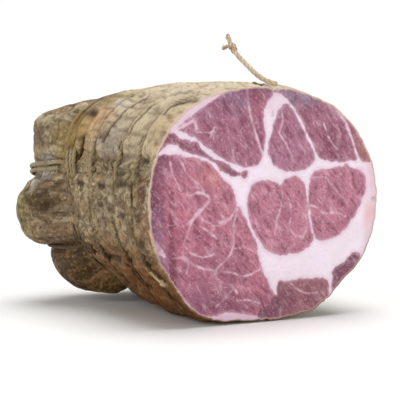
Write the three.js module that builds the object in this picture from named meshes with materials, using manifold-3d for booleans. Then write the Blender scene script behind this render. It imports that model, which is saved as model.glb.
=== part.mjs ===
// Half of a coppa: cured pork neck in its natural casing, trussed with twine and cut across.
// Millimetres, +Z up. The cut face looks along -Y and the lobed end of the casing points to +Y.
// The body lies on a small flat under the middle of its length.

import * as THREE from 'three';
import Module from 'manifold-3d';
import { mergeVertices } from 'three/addons/utils/BufferGeometryUtils.js';

const wasm = await Module();
wasm.setup();

// Driving dimensions of the cut section
const CUT_HALF_WIDTH = 61.6;
const CUT_HALF_HEIGHT = 54.6;
const CUT_SQUARENESS = 2.2;
const AXIS_HEIGHT = 54.8;
// Places where the section is fuller or hollower than the plain oval: degrees, reach, millimetres
const SECTION_SWELLS = [
  { at: 137, reach: 24, size: 1.6 },
  { at: -50, reach: 25, size: -4.4 },
  { at: -122, reach: 12, size: 2.6 },
  { at: -144, reach: 11, size: -2.8 },
];
// The far half is fuller at the upper left and slimmer at the lower left
const FAR_SWELLS = [
  { at: 146, reach: 24, size: 9.5 },
  { at: 245, reach: 22, size: -8.5 },
];
const FAR_FROM = 36;
const FAR_TO = 84;

// Twine
const TWINE = 2.2;
const TWINE_SIDES = 6;
const GAP = 0.5;
const SEAT = TWINE / 2 + GAP;
const LIFT_OFF_FLOOR = TWINE / 2 + 0.15;
const STRING_OFF_FLOOR = LIFT_OFF_FLOOR + TWINE + GAP;

// Hoops round the body: distance behind the cut and how far each one leans
const HOOPS = [
  { name: 'hoop_1', y: 15, lean: 0.5 },
  { name: 'hoop_2', y: 35, lean: -1.0 },
  { name: 'hoop_3', y: 56, lean: 1.2 },
];
const BAND_Y = 75.5;
const BAND_STRANDS = 3;
const BAND_PITCH = TWINE + 0.45;
const BAND_FRONT = BAND_Y - (BAND_STRANDS - 1) * BAND_PITCH / 2;
const BAND_BACK = BAND_Y + (BAND_STRANDS - 1) * BAND_PITCH / 2;
const BAND_LEAN = -1.5;
const LEAN_TOWARDS = 200;
const HOOP_SINK = 0.25;
const HOOP_HUMP = 0.95;
const HUMP_STEEPNESS = 1.45;
const GROOVE_HALF_WIDTH = 3.2;
const GROOVE_FLOOR = 1.3;
const GROOVE_POWER = 2.4;
const BAND_PINCH = 2.0;
const BAND_PINCH_REACH = 9;

// Where the lobed end starts, just behind the band
const CAP_START_Y = BAND_BACK + GROOVE_HALF_WIDTH;

// Lengthwise strings: angle round the body, half width of the valley floor and of its shoulder in
// degrees, and how far the floor rises beside the string
const STRING_SINK = 2.05;
const STRING_START = 4.5;
const TOP_STRING_START = 9.5;
const RIM_SHARE = 0.2;
const STRINGS = [
  { name: 'string_top', at: 87, floor: 2, shoulder: 4.6, rise: 0.8 },
  { name: 'string_upper_left', at: 164, floor: 3.4, shoulder: 6.4, rise: 0.35, beside: -1.35 },
  { name: 'string_lower_left', at: 204, floor: 2, shoulder: 4.6, rise: 0.8 },
  { name: 'string_bottom_left', at: 252, floor: 2, shoulder: 4.6, rise: 0.8 },
  { name: 'string_bottom_right', at: 300, floor: 2, shoulder: 4.6, rise: 0.8 },
  { name: 'string_right', at: 348, floor: 2, shoulder: 4.6, rise: 0.8 },
  { name: 'string_upper_right', at: 395, floor: 2, shoulder: 4.6, rise: 0.8 },
];

// Lobes of the far end, in the order of the strings that they follow: how far each one bulges
// past the body, how long it is behind its widest place, how square its profile is and where its
// ridge lies (1 is the middle, less is nearer the first string)
const LOBES = [
  { bulge: 1.05, rear: 37, squareness: 3.3, ridge: 1.5 },
  { bulge: 1.22, rear: 38, squareness: 2.3, ridge: 1 },
  { bulge: 1.20, rear: 37, squareness: 2.3, ridge: 0.74 },
  { bulge: 1.06, rear: 33, squareness: 2.3, ridge: 1 },
  { bulge: 1.08, rear: 35, squareness: 2.3, ridge: 1 },
  { bulge: 1.10, rear: 36, squareness: 2.3, ridge: 1 },
  { bulge: 1.08, rear: 34, squareness: 2.3, ridge: 1 },
];
const LOBE_PLANE_Y = 101;
const VALLEY_BULGE = 0.965;
const VALLEY_REAR = 27;
const VALLEY_SQUARENESS = 3.6;
const DIMPLE_DEPTH = 7;
const DIMPLE_RADIUS = 17;
// The ridge of a lobe rises over this turn, fades before the pole and is this round across
const RIDGE_RISES_OVER = 32;
const RIDGE_FADES = 1.6;
const RIDGE_ROUNDNESS = 0.8;

// The axis drifts to the left behind the cut, faster past the last hoop
const AXIS_DRIFT = 0.10;
const AXIS_BEND = 0.0012;
const AXIS_BEND_FROM = 60;

// The body between the hoops, as width and height against the cut section
const GIRTH = [
  { y: 0, width: 1.0, height: 1.0 },
  { y: 15, width: 0.99, height: 1.02 },
  { y: 35, width: 0.975, height: 1.035 },
  { y: 56, width: 0.98, height: 1.045 },
  { y: 76, width: 0.992, height: 1.03 },
  { y: 101, width: 1.0, height: 0.98 },
  { y: 140, width: 1.0, height: 0.96 },
];
const AXIS_HEIGHTS = [
  { y: 0, z: AXIS_HEIGHT },
  { y: 35, z: 55.6 },
  { y: 76, z: 55.6 },
  { y: 101, z: 53.5 },
  { y: 140, z: 51.0 },
];
// Pillows between the hoops: height, where the first one starts, how soon it is full, how round
// its profile is and how much of it is left beside a lengthwise string
const PILLOW = 1.7;
const PILLOW_START = -6;
const PILLOW_GROWS = 9;
const PILLOW_ROUNDNESS = 0.8;
const PILLOW_AT_STRINGS = 0.4;
// Slow lumps on the pillows: height, and the two waves that they come from, with the number of
// waves round the body and the turn of each wave along it, in radians per millimetre
const LUMP = 0.9;
const BROAD_WAVE = { round: 3, along: 0.11 };
const FINE_WAVE = { round: 8, along: -0.17 };

// Strings over the lobed end and their knot
const VALLEY_CLEARANCE = 0.35;
const STRINGS_END_TURN = 84;
const KNOT_RADIUS = 3.2;
const KNOT_HEIGHT = 4.4;
const KNOT_STEPS = 36;

// Short ends on the casing: degrees round the body and distance behind the cut
const SHORT_END_HEIGHT = TWINE / 2 + 0.6;
const SHORT_END_STEPS = 5;
const LOOSE_END = [[208.5, 12.2], [211, 10.5], [213, 8.6], [215, 6.5]];
const RIM_END = [[132.5, 9.8], [130.5, 7.2], [128, 4.8], [126, 2.6]];

// The tail: its route in the frame of the cut, and the knot at its tip
const TAIL = 2.4;
const TAIL_SIDES = 8;
const TAIL_STEPS = 14;
const TAIL_ROUTE = [
  [5.6, 3.0, 110.8], [4.2, 4.3, 111.4], [2.4, 6.5, 112.4], [0.8, 8.8, 113.8], [-0.5, 12, 116.0],
  [-1.8, 15.3, 118.9], [-3.3, 18.5, 121.9], [-4.6, 21.0, 124.5], [-5.3, 22.4, 126.2],
];
const KNOT_AT = [-6.1, 24.3, 128.9];
const KNOT_ALONG = [-0.6, 1.4, 2.4];
const KNOT_LENGTH = 5.2;
const KNOT_WIDTH = 3.9;
const KNOT_END = 1.7;
const KNOT_END_STEPS = 3;
const KNOT_SIDES = 8;
const KNOT_RINGS = 6;
const KNOT_ENDS = [
  [[-6.4, 25.0, 130.0], [-7.2, 26.0, 132.8], [-7.9, 26.5, 134.8]],
  [[-6.8, 24.4, 129.2], [-9.4, 23.7, 129.4], [-12.0, 23.0, 128.4]],
];

// Counts of the body's mesh, and its first rows behind the cut
const RIM_ROWS = [0, 4.5, 8.5];
const COLUMNS_BETWEEN_STRINGS = 3;
const WIDE_SPAN = 50;
const EXTRA_COLUMNS = 2;
// Turns of the rows over the lobed end, from the band's edge to near the pole, in degrees
const CAP_START_TURN = -36;
const CAP_TURNS = [-26, -15, -4, 7, 18, 29, 40, 51, 62, 72, 80, 86];

const RAD = Math.PI / 180;
const MERGE_WITHIN = 1e-4;

function between(list, y, key) {
  for (let i = 1; i < list.length; i += 1) {
    if (y <= list[i].y) {
      const f = (y - list[i - 1].y) / (list[i].y - list[i - 1].y);
      const s = f * f * (3 - 2 * f);
      return list[i - 1][key] + (list[i][key] - list[i - 1][key]) * s;
    }
  }
  return list[list.length - 1][key];
}

function swellAt(deg, swells) {
  return swells.reduce((sum, swell) => {
    const off = ((deg - swell.at + 540) % 360) - 180;
    return sum + swell.size * Math.exp(-((off / swell.reach) ** 2));
  }, 0);
}

function sectionRadius(deg, y) {
  const c = Math.abs(Math.cos(deg * RAD)) / CUT_HALF_WIDTH;
  const s = Math.abs(Math.sin(deg * RAD)) / CUT_HALF_HEIGHT;
  const oval = (c ** CUT_SQUARENESS + s ** CUT_SQUARENESS) ** (-1 / CUT_SQUARENESS);
  const far = THREE.MathUtils.smoothstep(y, FAR_FROM, FAR_TO);
  return oval + swellAt(deg, SECTION_SWELLS) + far * swellAt(deg, FAR_SWELLS);
}

function axisX(y) {
  return -AXIS_DRIFT * y - AXIS_BEND * Math.max(0, y - AXIS_BEND_FROM) ** 2;
}

// Outward direction of the section at an angle
function outward(deg) {
  return new THREE.Vector3(Math.cos(deg * RAD), 0, Math.sin(deg * RAD));
}

function leanAt(y) {
  const stations = [{ y: 0, lean: 0 }, ...HOOPS, { y: BAND_Y, lean: BAND_LEAN }];
  return between(stations, y, 'lean');
}

// A point of the taut surface, before pillows and grooves, on the leaning ring of station y
function tautPoint(deg, y) {
  const r = sectionRadius(deg, y);
  const pinch = BAND_PINCH * Math.exp(-(((y - BAND_Y) / BAND_PINCH_REACH) ** 2));
  const across = r * between(GIRTH, y, 'width') - pinch;
  const upright = r * between(GIRTH, y, 'height') - pinch;
  const x = axisX(y) + across * Math.cos(deg * RAD);
  const z = between(AXIS_HEIGHTS, y, 'z') + upright * Math.sin(deg * RAD);
  const lean = leanAt(y) * Math.cos((deg - LEAN_TOWARDS) * RAD);
  return new THREE.Vector3(x, y + lean, z);
}

// Where an angle lies between two strings: the lobe's number and the fraction across it
function acrossStrings(deg) {
  const turn = ((deg - STRINGS[0].at) % 360 + 360) % 360 + STRINGS[0].at;
  for (let i = 0; i < STRINGS.length; i += 1) {
    const start = STRINGS[i];
    const end = i + 1 < STRINGS.length ? STRINGS[i + 1] : { ...STRINGS[0], at: STRINGS[0].at + 360 };
    if (turn < end.at) {
      const from = start.at + start.floor;
      const to = end.at - end.floor;
      const f = Math.min(1, Math.max(0, (turn - from) / (to - from)));
      return { lobe: i, fraction: f, offset: Math.min(turn - start.at, end.at - turn),
        string: turn - start.at < end.at - turn ? start : STRINGS[(i + 1) % STRINGS.length] };
    }
  }
  return { lobe: 0, fraction: 0, offset: 0, string: STRINGS[0] };
}

function phase(wave, deg, y) {
  return deg * wave.round * RAD + y * wave.along;
}

// Relief of the casing between the hoops: pillows that the twine squeezes up, and slow lumps
function pillowHeight(deg, y) {
  const stations = [PILLOW_START, ...HOOPS.map((h) => h.y), BAND_Y];
  let span = 0;
  for (let i = 1; i < stations.length; i += 1) {
    if (y > stations[i - 1] && y < stations[i]) {
      const f = (y - stations[i - 1]) / (stations[i] - stations[i - 1]);
      span = (1 - (2 * f - 1) ** 2) ** PILLOW_ROUNDNESS;
    }
  }
  const atCut = Math.min(1, y / PILLOW_GROWS);
  const across = Math.sin(Math.PI * acrossStrings(deg).fraction);
  const share = PILLOW_AT_STRINGS + (1 - PILLOW_AT_STRINGS) * across;
  const wave = Math.sin(phase(BROAD_WAVE, deg, y)) * Math.cos(phase(FINE_WAVE, deg, y));
  return atCut * span * (PILLOW * share + LUMP * wave);
}

// Keeps a point over the floor by drawing it inwards
function overFloor(point, height, deg) {
  const out = outward(deg);
  if (point.z < height) point.addScaledVector(out, (height - point.z) / out.z);
  return point;
}

// Centre of a hoop's twine, with a hump where it crosses a lengthwise string
function hoopPoint(deg, y, humps = true) {
  const place = acrossStrings(deg);
  const near = Math.max(0, 1 - place.offset / place.string.shoulder);
  const hump = humps ? HOOP_HUMP * Math.min(1, near * HUMP_STEEPNESS) : 0;
  const point = tautPoint(deg, y).addScaledVector(outward(deg), hump - HOOP_SINK);
  return overFloor(point, LIFT_OFF_FLOOR, deg);
}

function stringPoint(deg, y) {
  const point = tautPoint(deg, y).addScaledVector(outward(deg), -STRING_SINK);
  return overFloor(point, STRING_OFF_FLOOR, deg);
}

// How much of a groove's depth reaches a place beside its middle, from 1 to 0
function grooveShare(offset, halfWidth) {
  return Math.max(0, 1 - (Math.abs(offset) / halfWidth) ** GROOVE_POWER);
}

// The stations of the rows, each with the hoop or band that it belongs to
function bodyRows() {
  const rows = RIM_ROWS.map((y) => ({ y }));
  HOOPS.forEach((hoop, i) => {
    for (const off of [-GROOVE_HALF_WIDTH, -GROOVE_FLOOR, 0, GROOVE_FLOOR, GROOVE_HALF_WIDTH]) {
      rows.push({ y: hoop.y + off, hoopY: hoop.y, share: grooveShare(off, GROOVE_HALF_WIDTH) });
    }
    const next = i + 1 < HOOPS.length ? HOOPS[i + 1].y : BAND_FRONT;
    rows.push({ y: (hoop.y + next) / 2 });
  });
  const edge = grooveShare(GROOVE_FLOOR, GROOVE_HALF_WIDTH);
  rows.push({ y: BAND_FRONT - GROOVE_HALF_WIDTH });
  rows.push({ y: BAND_FRONT - GROOVE_FLOOR, hoopY: BAND_FRONT, share: edge });
  for (let y = BAND_FRONT; y <= BAND_BACK; y += BAND_PITCH / 2) rows.push({ y, hoopY: y, share: 1 });
  rows.push({ y: BAND_BACK + GROOVE_FLOOR, hoopY: BAND_BACK, share: edge });
  rows.push({ y: CAP_START_Y });
  return rows;
}

function bodyColumns() {
  const angles = [];
  STRINGS.forEach((string, i) => {
    const next = i + 1 < STRINGS.length ? STRINGS[i + 1] : { ...STRINGS[0], at: STRINGS[0].at + 360 };
    angles.push(string.at, string.at + string.floor, string.at + string.shoulder);
    const from = string.at + string.shoulder;
    const to = next.at - next.shoulder;
    const count = COLUMNS_BETWEEN_STRINGS + (to - from > WIDE_SPAN ? EXTRA_COLUMNS : 0);
    for (let k = 1; k <= count; k += 1) angles.push(from + (to - from) * k / (count + 1));
    angles.push(next.at - next.shoulder, next.at - next.floor);
  });
  return angles;
}

// How far the skin has risen beside a string's seat, or nothing beyond the valley
function valleyRise(deg) {
  const { offset, string } = acrossStrings(deg);
  if (offset > (string.floor + string.shoulder) / 2) return null;
  return offset < string.floor / 2 ? 0 : string.rise;
}

// A point of the body's skin on one of its rows, with the grooves pressed in
function bodyPoint(deg, row) {
  const out = outward(deg);
  const pillow = pillowHeight(deg, row.y) * (1 - (row.share ?? 0));
  const skin = overFloor(tautPoint(deg, row.y).addScaledVector(out, pillow), 0, deg);
  let depth = 0;
  if (row.share) {
    const seat = hoopPoint(deg, row.hoopY, false).addScaledVector(out, -SEAT);
    const flat = tautPoint(deg, row.hoopY);
    overFloor(flat, 0, deg);
    depth = row.share * flat.sub(seat).dot(out);
  }
  const rise = valleyRise(deg);
  if (rise !== null) {
    const seat = stringPoint(deg, row.y).addScaledVector(out, rise - SEAT);
    const share = row.y === 0 ? RIM_SHARE : 1;
    depth = Math.max(depth, share * skin.clone().sub(seat).dot(out));
  }
  const point = skin.addScaledVector(out, -depth);
  if (row.y === 0) point.y = 0;
  return point;
}

// The lobed end runs in turns from the band's edge, past its widest place at 0, to the pole at 90

function capProfile(turn, bulge, rear, squareness) {
  const s = Math.abs(Math.sin(turn * RAD)) ** (2 / squareness);
  const c = Math.max(0, Math.cos(turn * RAD)) ** (2 / squareness);
  const start = Math.abs(Math.sin(CAP_START_TURN * RAD)) ** (2 / squareness);
  const front = (LOBE_PLANE_Y - CAP_START_Y) / start;
  return { reach: bulge * c, y: LOBE_PLANE_Y + (turn < 0 ? -front * s : rear * s) };
}

// A point of the lobed end: lift is 0 in a valley and 1 along the ridge of a lobe
function capPoint(deg, turn, lift, lobe) {
  const valley = capProfile(turn, VALLEY_BULGE, VALLEY_REAR, VALLEY_SQUARENESS);
  const ridge = capProfile(turn, lobe.bulge, lobe.rear, lobe.squareness);
  const reach = valley.reach + (ridge.reach - valley.reach) * lift;
  let y = valley.y + (ridge.y - valley.y) * lift;
  const r = sectionRadius(deg, y) * reach;
  y -= DIMPLE_DEPTH * Math.exp(-((r / DIMPLE_RADIUS) ** 2));
  const lean = BAND_LEAN * Math.cos((deg - LEAN_TOWARDS) * RAD) * reach;
  const x = axisX(y) + r * between(GIRTH, y, 'width') * Math.cos(deg * RAD);
  const z = between(AXIS_HEIGHTS, y, 'z') + r * between(GIRTH, y, 'height') * Math.sin(deg * RAD);
  return new THREE.Vector3(x, y + lean, z);
}

function capSkin(deg, turn) {
  const place = acrossStrings(deg);
  const risen = Math.min(1, (turn - CAP_START_TURN) / RIDGE_RISES_OVER);
  const grown = Math.sin(Math.PI / 2 * risen);
  const fading = Math.min(1, Math.cos(turn * RAD) * RIDGE_FADES);
  const lobe = LOBES[place.lobe];
  const arch = Math.sin(Math.PI * place.fraction ** lobe.ridge) ** RIDGE_ROUNDNESS;
  return overFloor(capPoint(deg, turn, arch * grown * fading, lobe), 0, deg);
}

// The middle of the dimple at the far end
function polePoint() {
  return capPoint(0, 90, 0, LOBES[0]);
}

// Triangles of a lattice of points: rows run round the body, each closed on itself
function closedLattice(rows, firstCap, lastCap) {
  const count = rows[0].length;
  const vertices = [...rows.flat(), firstCap, lastCap];
  const first = vertices.length - 2;
  const last = vertices.length - 1;
  const index = [];
  for (let j = 0; j + 1 < rows.length; j += 1) {
    for (let i = 0; i < count; i += 1) {
      const a = j * count + i;
      const b = j * count + (i + 1) % count;
      const c = a + count;
      const d = b + count;
      index.push(a, c, b, b, c, d);
    }
  }
  const end = (rows.length - 1) * count;
  for (let i = 0; i < count; i += 1) {
    index.push(first, i, (i + 1) % count);
    index.push(last, end + (i + 1) % count, end + i);
  }
  const geometry = new THREE.BufferGeometry();
  const flat = vertices.flatMap((v) => [v.x, v.y, v.z]);
  geometry.setAttribute('position', new THREE.Float32BufferAttribute(flat, 3));
  geometry.setIndex(index);
  return outwardFacing(geometry);
}

function signedVolume(geometry) {
  const p = geometry.attributes.position;
  const index = geometry.index.array;
  const [a, b, c] = [new THREE.Vector3(), new THREE.Vector3(), new THREE.Vector3()];
  let volume = 0;
  for (let i = 0; i < index.length; i += 3) {
    a.fromBufferAttribute(p, index[i]);
    b.fromBufferAttribute(p, index[i + 1]);
    c.fromBufferAttribute(p, index[i + 2]);
    volume += a.dot(b.cross(c)) / 6;
  }
  return volume;
}

function outwardFacing(geometry) {
  if (signedVolume(geometry) < 0) {
    const index = geometry.index.array;
    for (let i = 0; i < index.length; i += 3) [index[i], index[i + 1]] = [index[i + 1], index[i]];
  }
  return geometry;
}

function meatGeometry() {
  const columns = bodyColumns();
  const rows = bodyRows().map((row) => columns.map((deg) => bodyPoint(deg, row)));
  for (const turn of CAP_TURNS) rows.push(columns.map((deg) => capSkin(deg, turn)));
  const centre = new THREE.Vector3(axisX(0), 0, AXIS_HEIGHT);
  return closedLattice(rows, centre, polePoint());
}

// The corners of a twine's section round a centre, with a flat towards and away from the body
function sectionAt(centre, away, side, radius) {
  return Array.from({ length: TWINE_SIDES }, (_, k) => {
    const a = 2 * Math.PI * (k + 0.5) / TWINE_SIDES;
    const corner = centre.clone().addScaledVector(away, radius * Math.cos(a));
    return corner.addScaledVector(side, radius * Math.sin(a));
  });
}

// A closed ring of twine through the given centres, with its section in the radial plane
function ringOfTwine(centres, radius) {
  const count = centres.length;
  const middle = centres.reduce((sum, p) => sum.add(p), new THREE.Vector3()).divideScalar(count);
  const vertices = [];
  centres.forEach((p, i) => {
    const along = centres[(i + 1) % count].clone().sub(centres[(i + count - 1) % count]).normalize();
    const away = p.clone().sub(middle);
    away.addScaledVector(along, -away.dot(along)).normalize();
    const side = along.clone().cross(away);
    for (const v of sectionAt(p, away, side, radius)) vertices.push(v.x, v.y, v.z);
  });
  const index = [];
  for (let i = 0; i < count; i += 1) {
    for (let k = 0; k < TWINE_SIDES; k += 1) {
      const a = i * TWINE_SIDES + k;
      const b = i * TWINE_SIDES + (k + 1) % TWINE_SIDES;
      const c = ((i + 1) % count) * TWINE_SIDES + k;
      const d = ((i + 1) % count) * TWINE_SIDES + (k + 1) % TWINE_SIDES;
      index.push(a, b, c, b, d, c);
    }
  }
  const geometry = new THREE.BufferGeometry();
  geometry.setAttribute('position', new THREE.Float32BufferAttribute(vertices, 3));
  geometry.setIndex(index);
  return outwardFacing(geometry);
}

// A prism of twine along a curve that passes near the given centres
function lengthOfTwine(points, radius, sides, steps) {
  const path = new THREE.CatmullRomCurve3(points, false, 'centripetal');
  const section = new THREE.Shape();
  for (let k = 0; k < sides; k += 1) {
    const a = 2 * Math.PI * k / sides;
    const [x, y] = [radius * Math.cos(a), radius * Math.sin(a)];
    if (k === 0) section.moveTo(x, y);
    else section.lineTo(x, y);
  }
  section.closePath();
  return new THREE.ExtrudeGeometry(section, { steps, bevelEnabled: false, extrudePath: path });
}

// An open length of twine whose rings stand exactly on the given centres
function pulledTwine(centres, radius) {
  const rows = centres.map((p, i) => {
    const before = centres[Math.max(0, i - 1)];
    const after = centres[Math.min(centres.length - 1, i + 1)];
    const along = after.clone().sub(before).normalize();
    const away = new THREE.Vector3(p.x - axisX(p.y), 0, p.z - AXIS_HEIGHT);
    if (away.length() < 1) away.set(0, 0, 1);
    away.addScaledVector(along, -away.dot(along)).normalize();
    const side = along.clone().cross(away);
    return sectionAt(p, away, side, radius);
  });
  return closedLattice(rows, centres[0].clone(), centres[centres.length - 1].clone());
}

// Centre of a string over the lobed end, in its valley, moved beside the valley's middle
function valleyPoint(middle, turn, beside) {
  const from = capPoint(middle, turn, 0, LOBES[0]);
  const deg = middle + beside / (Math.hypot(from.x - axisX(from.y), from.z - AXIS_HEIGHT) * RAD);
  const ahead = capPoint(deg, turn + 1, 0, LOBES[0]);
  const behind = capPoint(deg, turn - 1, 0, LOBES[0]);
  const along = ahead.sub(behind).normalize();
  const side = new THREE.Vector3(-Math.sin(deg * RAD), 0, Math.cos(deg * RAD));
  const away = along.cross(side).normalize();
  const point = capPoint(deg, turn, 0, LOBES[0]).addScaledVector(away, SEAT + VALLEY_CLEARANCE);
  return overFloor(point, STRING_OFF_FLOOR, deg);
}

function stringOverEnd(deg, beside) {
  const turns = CAP_TURNS.filter((turn) => turn < STRINGS_END_TURN);
  return turns.map((turn, i) => valleyPoint(deg, turn, beside * Math.min(1, (i + 1) / 2)));
}

function stringCentres(string, start) {
  const stations = [start];
  HOOPS.forEach((hoop, i) => {
    stations.push(hoop.y - GROOVE_HALF_WIDTH, hoop.y, hoop.y + GROOVE_HALF_WIDTH);
    const next = i + 1 < HOOPS.length ? HOOPS[i + 1].y : BAND_FRONT;
    stations.push((hoop.y + next) / 2);
  });
  stations.push(BAND_FRONT - GROOVE_HALF_WIDTH, BAND_FRONT, BAND_Y, BAND_BACK, CAP_START_Y);
  const body = stations.map((y) => stringPoint(string.at, y));
  return [...body, ...stringOverEnd(string.at, string.beside ?? 0)];
}

// One solid from several closed meshes that run into each other
function fused(geometries) {
  const solids = geometries.map((geometry) => {
    const bare = geometry.clone();
    for (const name of Object.keys(bare.attributes)) {
      if (name !== 'position') bare.deleteAttribute(name);
    }
    const merged = mergeVertices(bare, MERGE_WITHIN);
    return new wasm.Manifold(new wasm.Mesh({
      numProp: 3,
      vertProperties: new Float32Array(merged.attributes.position.array),
      triVerts: new Uint32Array(merged.index.array),
    }));
  });
  const mesh = solids.reduce((sum, solid) => sum.add(solid)).getMesh();
  const geometry = new THREE.BufferGeometry();
  geometry.setAttribute('position', new THREE.Float32BufferAttribute(mesh.vertProperties, 3));
  geometry.setIndex(Array.from(mesh.triVerts));
  return geometry;
}

// A lump of knotted twine: an egg-shaped body at a place, with its long axis along a direction
function knotLump(place, along, length, width) {
  const egg = new THREE.SphereGeometry(1, KNOT_SIDES, KNOT_RINGS);
  egg.scale(width / 2, length / 2, width / 2);
  const upright = new THREE.Vector3(0, 1, 0);
  egg.applyQuaternion(new THREE.Quaternion().setFromUnitVectors(upright, along.clone().normalize()));
  egg.translate(place.x, place.y, place.z);
  return egg;
}

// A place on top of the casing, at an angle and a station, raised by a height
function onSkin(deg, y, height) {
  const raised = pillowHeight(deg, y) + height;
  return tautPoint(deg, y).addScaledVector(outward(deg), raised);
}

const CASING_LOOK = new THREE.MeshStandardMaterial({ color: 0x9a8c72, roughness: 0.8, metalness: 0 });
const TWINE_LOOK = new THREE.MeshStandardMaterial({ color: 0xb7a988, roughness: 0.9, metalness: 0 });

const group = new THREE.Group();

function add(name, geometry, look) {
  const mesh = new THREE.Mesh(geometry, look);
  mesh.name = name;
  group.add(mesh);
}

function addMeat() {
  add('cured_meat', meatGeometry(), CASING_LOOK);
}

function addHoops() {
  for (const hoop of HOOPS) {
    const ring = ringOfTwine(bodyColumns().map((deg) => hoopPoint(deg, hoop.y)), TWINE / 2);
    add(hoop.name, ring, TWINE_LOOK);
  }
  for (let k = 0; k < BAND_STRANDS; k += 1) {
    const y = BAND_Y + (k - (BAND_STRANDS - 1) / 2) * BAND_PITCH;
    const ring = ringOfTwine(bodyColumns().map((deg) => hoopPoint(deg, y)), TWINE / 2);
    add(`band_${k + 1}`, ring, TWINE_LOOK);
  }
}

function addStrings() {
  for (const string of STRINGS) {
    const start = string.name === 'string_top' ? TOP_STRING_START : STRING_START;
    add(string.name, pulledTwine(stringCentres(string, start), TWINE / 2), TWINE_LOOK);
  }
}

// A second strand beside the upper left string, from the band to the knot at the far end
function addDoubledStrand() {
  const string = STRINGS.find((s) => s.name === 'string_upper_left');
  const centres = stringOverEnd(string.at, -string.beside);
  add('doubled_strand', pulledTwine(centres.slice(1), TWINE / 2), TWINE_LOOK);
}

// The knot in the dimple of the far end, where the lengthwise strings come together
function addEndKnot() {
  const knot = new THREE.TorusKnotGeometry(KNOT_RADIUS, TWINE / 2, KNOT_STEPS, TWINE_SIDES, 2, 3);
  knot.rotateX(Math.PI / 2);
  const pole = polePoint();
  knot.translate(pole.x, pole.y + KNOT_HEIGHT, pole.z);
  add('end_knot', fused([knot]), TWINE_LOOK);
}

// Short ends of twine that lie on the casing beside the cut
function addShortEnds() {
  const knotted = LOOSE_END.map(([deg, y]) => onSkin(deg, y, SHORT_END_HEIGHT));
  add('loose_end', lengthOfTwine(knotted, TWINE / 2, TWINE_SIDES, SHORT_END_STEPS), TWINE_LOOK);
  const rim = RIM_END.map(([deg, y]) => onSkin(deg, y, SHORT_END_HEIGHT));
  add('rim_end', lengthOfTwine(rim, TWINE / 2, TWINE_SIDES, SHORT_END_STEPS), TWINE_LOOK);
}

// The end of the top string, which stands up stiffly and ends in a small knot
function addTail() {
  const route = TAIL_ROUTE.map(([x, y, z]) => new THREE.Vector3(x, y, z));
  add('tail', lengthOfTwine(route, TAIL / 2, TAIL_SIDES, TAIL_STEPS), TWINE_LOOK);
  const [place, along] = [KNOT_AT, KNOT_ALONG].map((v) => new THREE.Vector3(...v));
  const pieces = [knotLump(place, along, KNOT_LENGTH, KNOT_WIDTH)];
  for (const end of KNOT_ENDS) {
    const points = end.map(([x, y, z]) => new THREE.Vector3(x, y, z));
    pieces.push(lengthOfTwine(points, KNOT_END / 2, TWINE_SIDES, KNOT_END_STEPS));
  }
  add('tail_knot', fused(pieces), TWINE_LOOK);
}

// The origin is under the middle of the body, on the surface that it lies on
function centreOnBody() {
  const box = new THREE.Box3().setFromObject(group);
  const middle = box.getCenter(new THREE.Vector3());
  group.position.set(-middle.x, -middle.y, -box.min.z);
}

addMeat();
addHoops();
addStrings();
addDoubledStrand();
addEndKnot();
addShortEnds();
centreOnBody();
addTail();

export default group;
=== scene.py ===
"""Half of a coppa: cured pork neck in its natural casing, trussed with twine and cut across.

Places are in millimetres in the frame of the cut: x to the right across the cut face, y back from
it and z up from what the coppa lies on. TO_MODEL takes them to the model's frame, in metres.
"""

import math
import random

import bmesh
import bpy
import numpy as np
from mathutils import Matrix, Vector, kdtree, noise


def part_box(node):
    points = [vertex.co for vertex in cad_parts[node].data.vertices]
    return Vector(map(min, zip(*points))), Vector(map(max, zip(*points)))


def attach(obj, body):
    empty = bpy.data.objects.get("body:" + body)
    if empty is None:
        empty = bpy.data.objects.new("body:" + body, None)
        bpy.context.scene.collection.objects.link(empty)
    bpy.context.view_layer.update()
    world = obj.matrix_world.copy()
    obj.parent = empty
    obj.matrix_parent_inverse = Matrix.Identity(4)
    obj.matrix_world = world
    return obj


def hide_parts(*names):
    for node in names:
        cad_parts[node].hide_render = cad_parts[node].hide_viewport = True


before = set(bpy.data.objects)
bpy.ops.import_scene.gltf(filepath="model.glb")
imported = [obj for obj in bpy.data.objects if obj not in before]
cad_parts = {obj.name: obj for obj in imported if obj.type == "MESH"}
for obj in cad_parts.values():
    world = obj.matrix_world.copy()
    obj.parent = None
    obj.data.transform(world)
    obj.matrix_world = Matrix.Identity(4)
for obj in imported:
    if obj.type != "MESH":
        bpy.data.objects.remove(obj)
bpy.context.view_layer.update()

MM = 0.001
# The middle of the cut in the model's frame; the cut face is the meat's foremost plane
CUT_X = 13.4
CUT_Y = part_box("cured_meat")[0].y / MM
AXIS_HEIGHT = 54.8
TO_MODEL = Matrix.Scale(MM, 4) @ Matrix.Translation((CUT_X, CUT_Y, 0))
TO_CUT = TO_MODEL.inverted()
# The middle line of the meat, from the cut to the lobed end
HEART_FRONT = Vector((0, 0, AXIS_HEIGHT))
HEART_BACK = Vector((-9, 92, 53))

# Twine: its plies against its radius, the length of one turn and the distance between rings
TWINE_RADIUS = 1.1
PLIES = 3
SIDES_PER_PLY = 4
PLY_OFFSET = 0.42
PLY_RADIUS = 0.58
PLY_TURN = 8.5
RING_STEP = 0.7
# How much its thickness varies, and how fast along it
UNEVEN = 0.07
UNEVEN_PER_MM = 0.45
# Its skin is in a groove below this reach, and deepest this much lower
GROOVE_REACH = 0.95
GROOVE_DEPTH = 0.28
# Its least height over the floor, and how near the two sides of its seam lie
LOWEST_TWINE = 0.05
SEAM_GAP = 0.004
# How many corners the sections of the solids' twine have
SOLID_SIDES = 6
FIBRE_RADIUS = 0.3
END_KNOT_RADIUS = 3.2
KNOT_STEPS = 36

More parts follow.
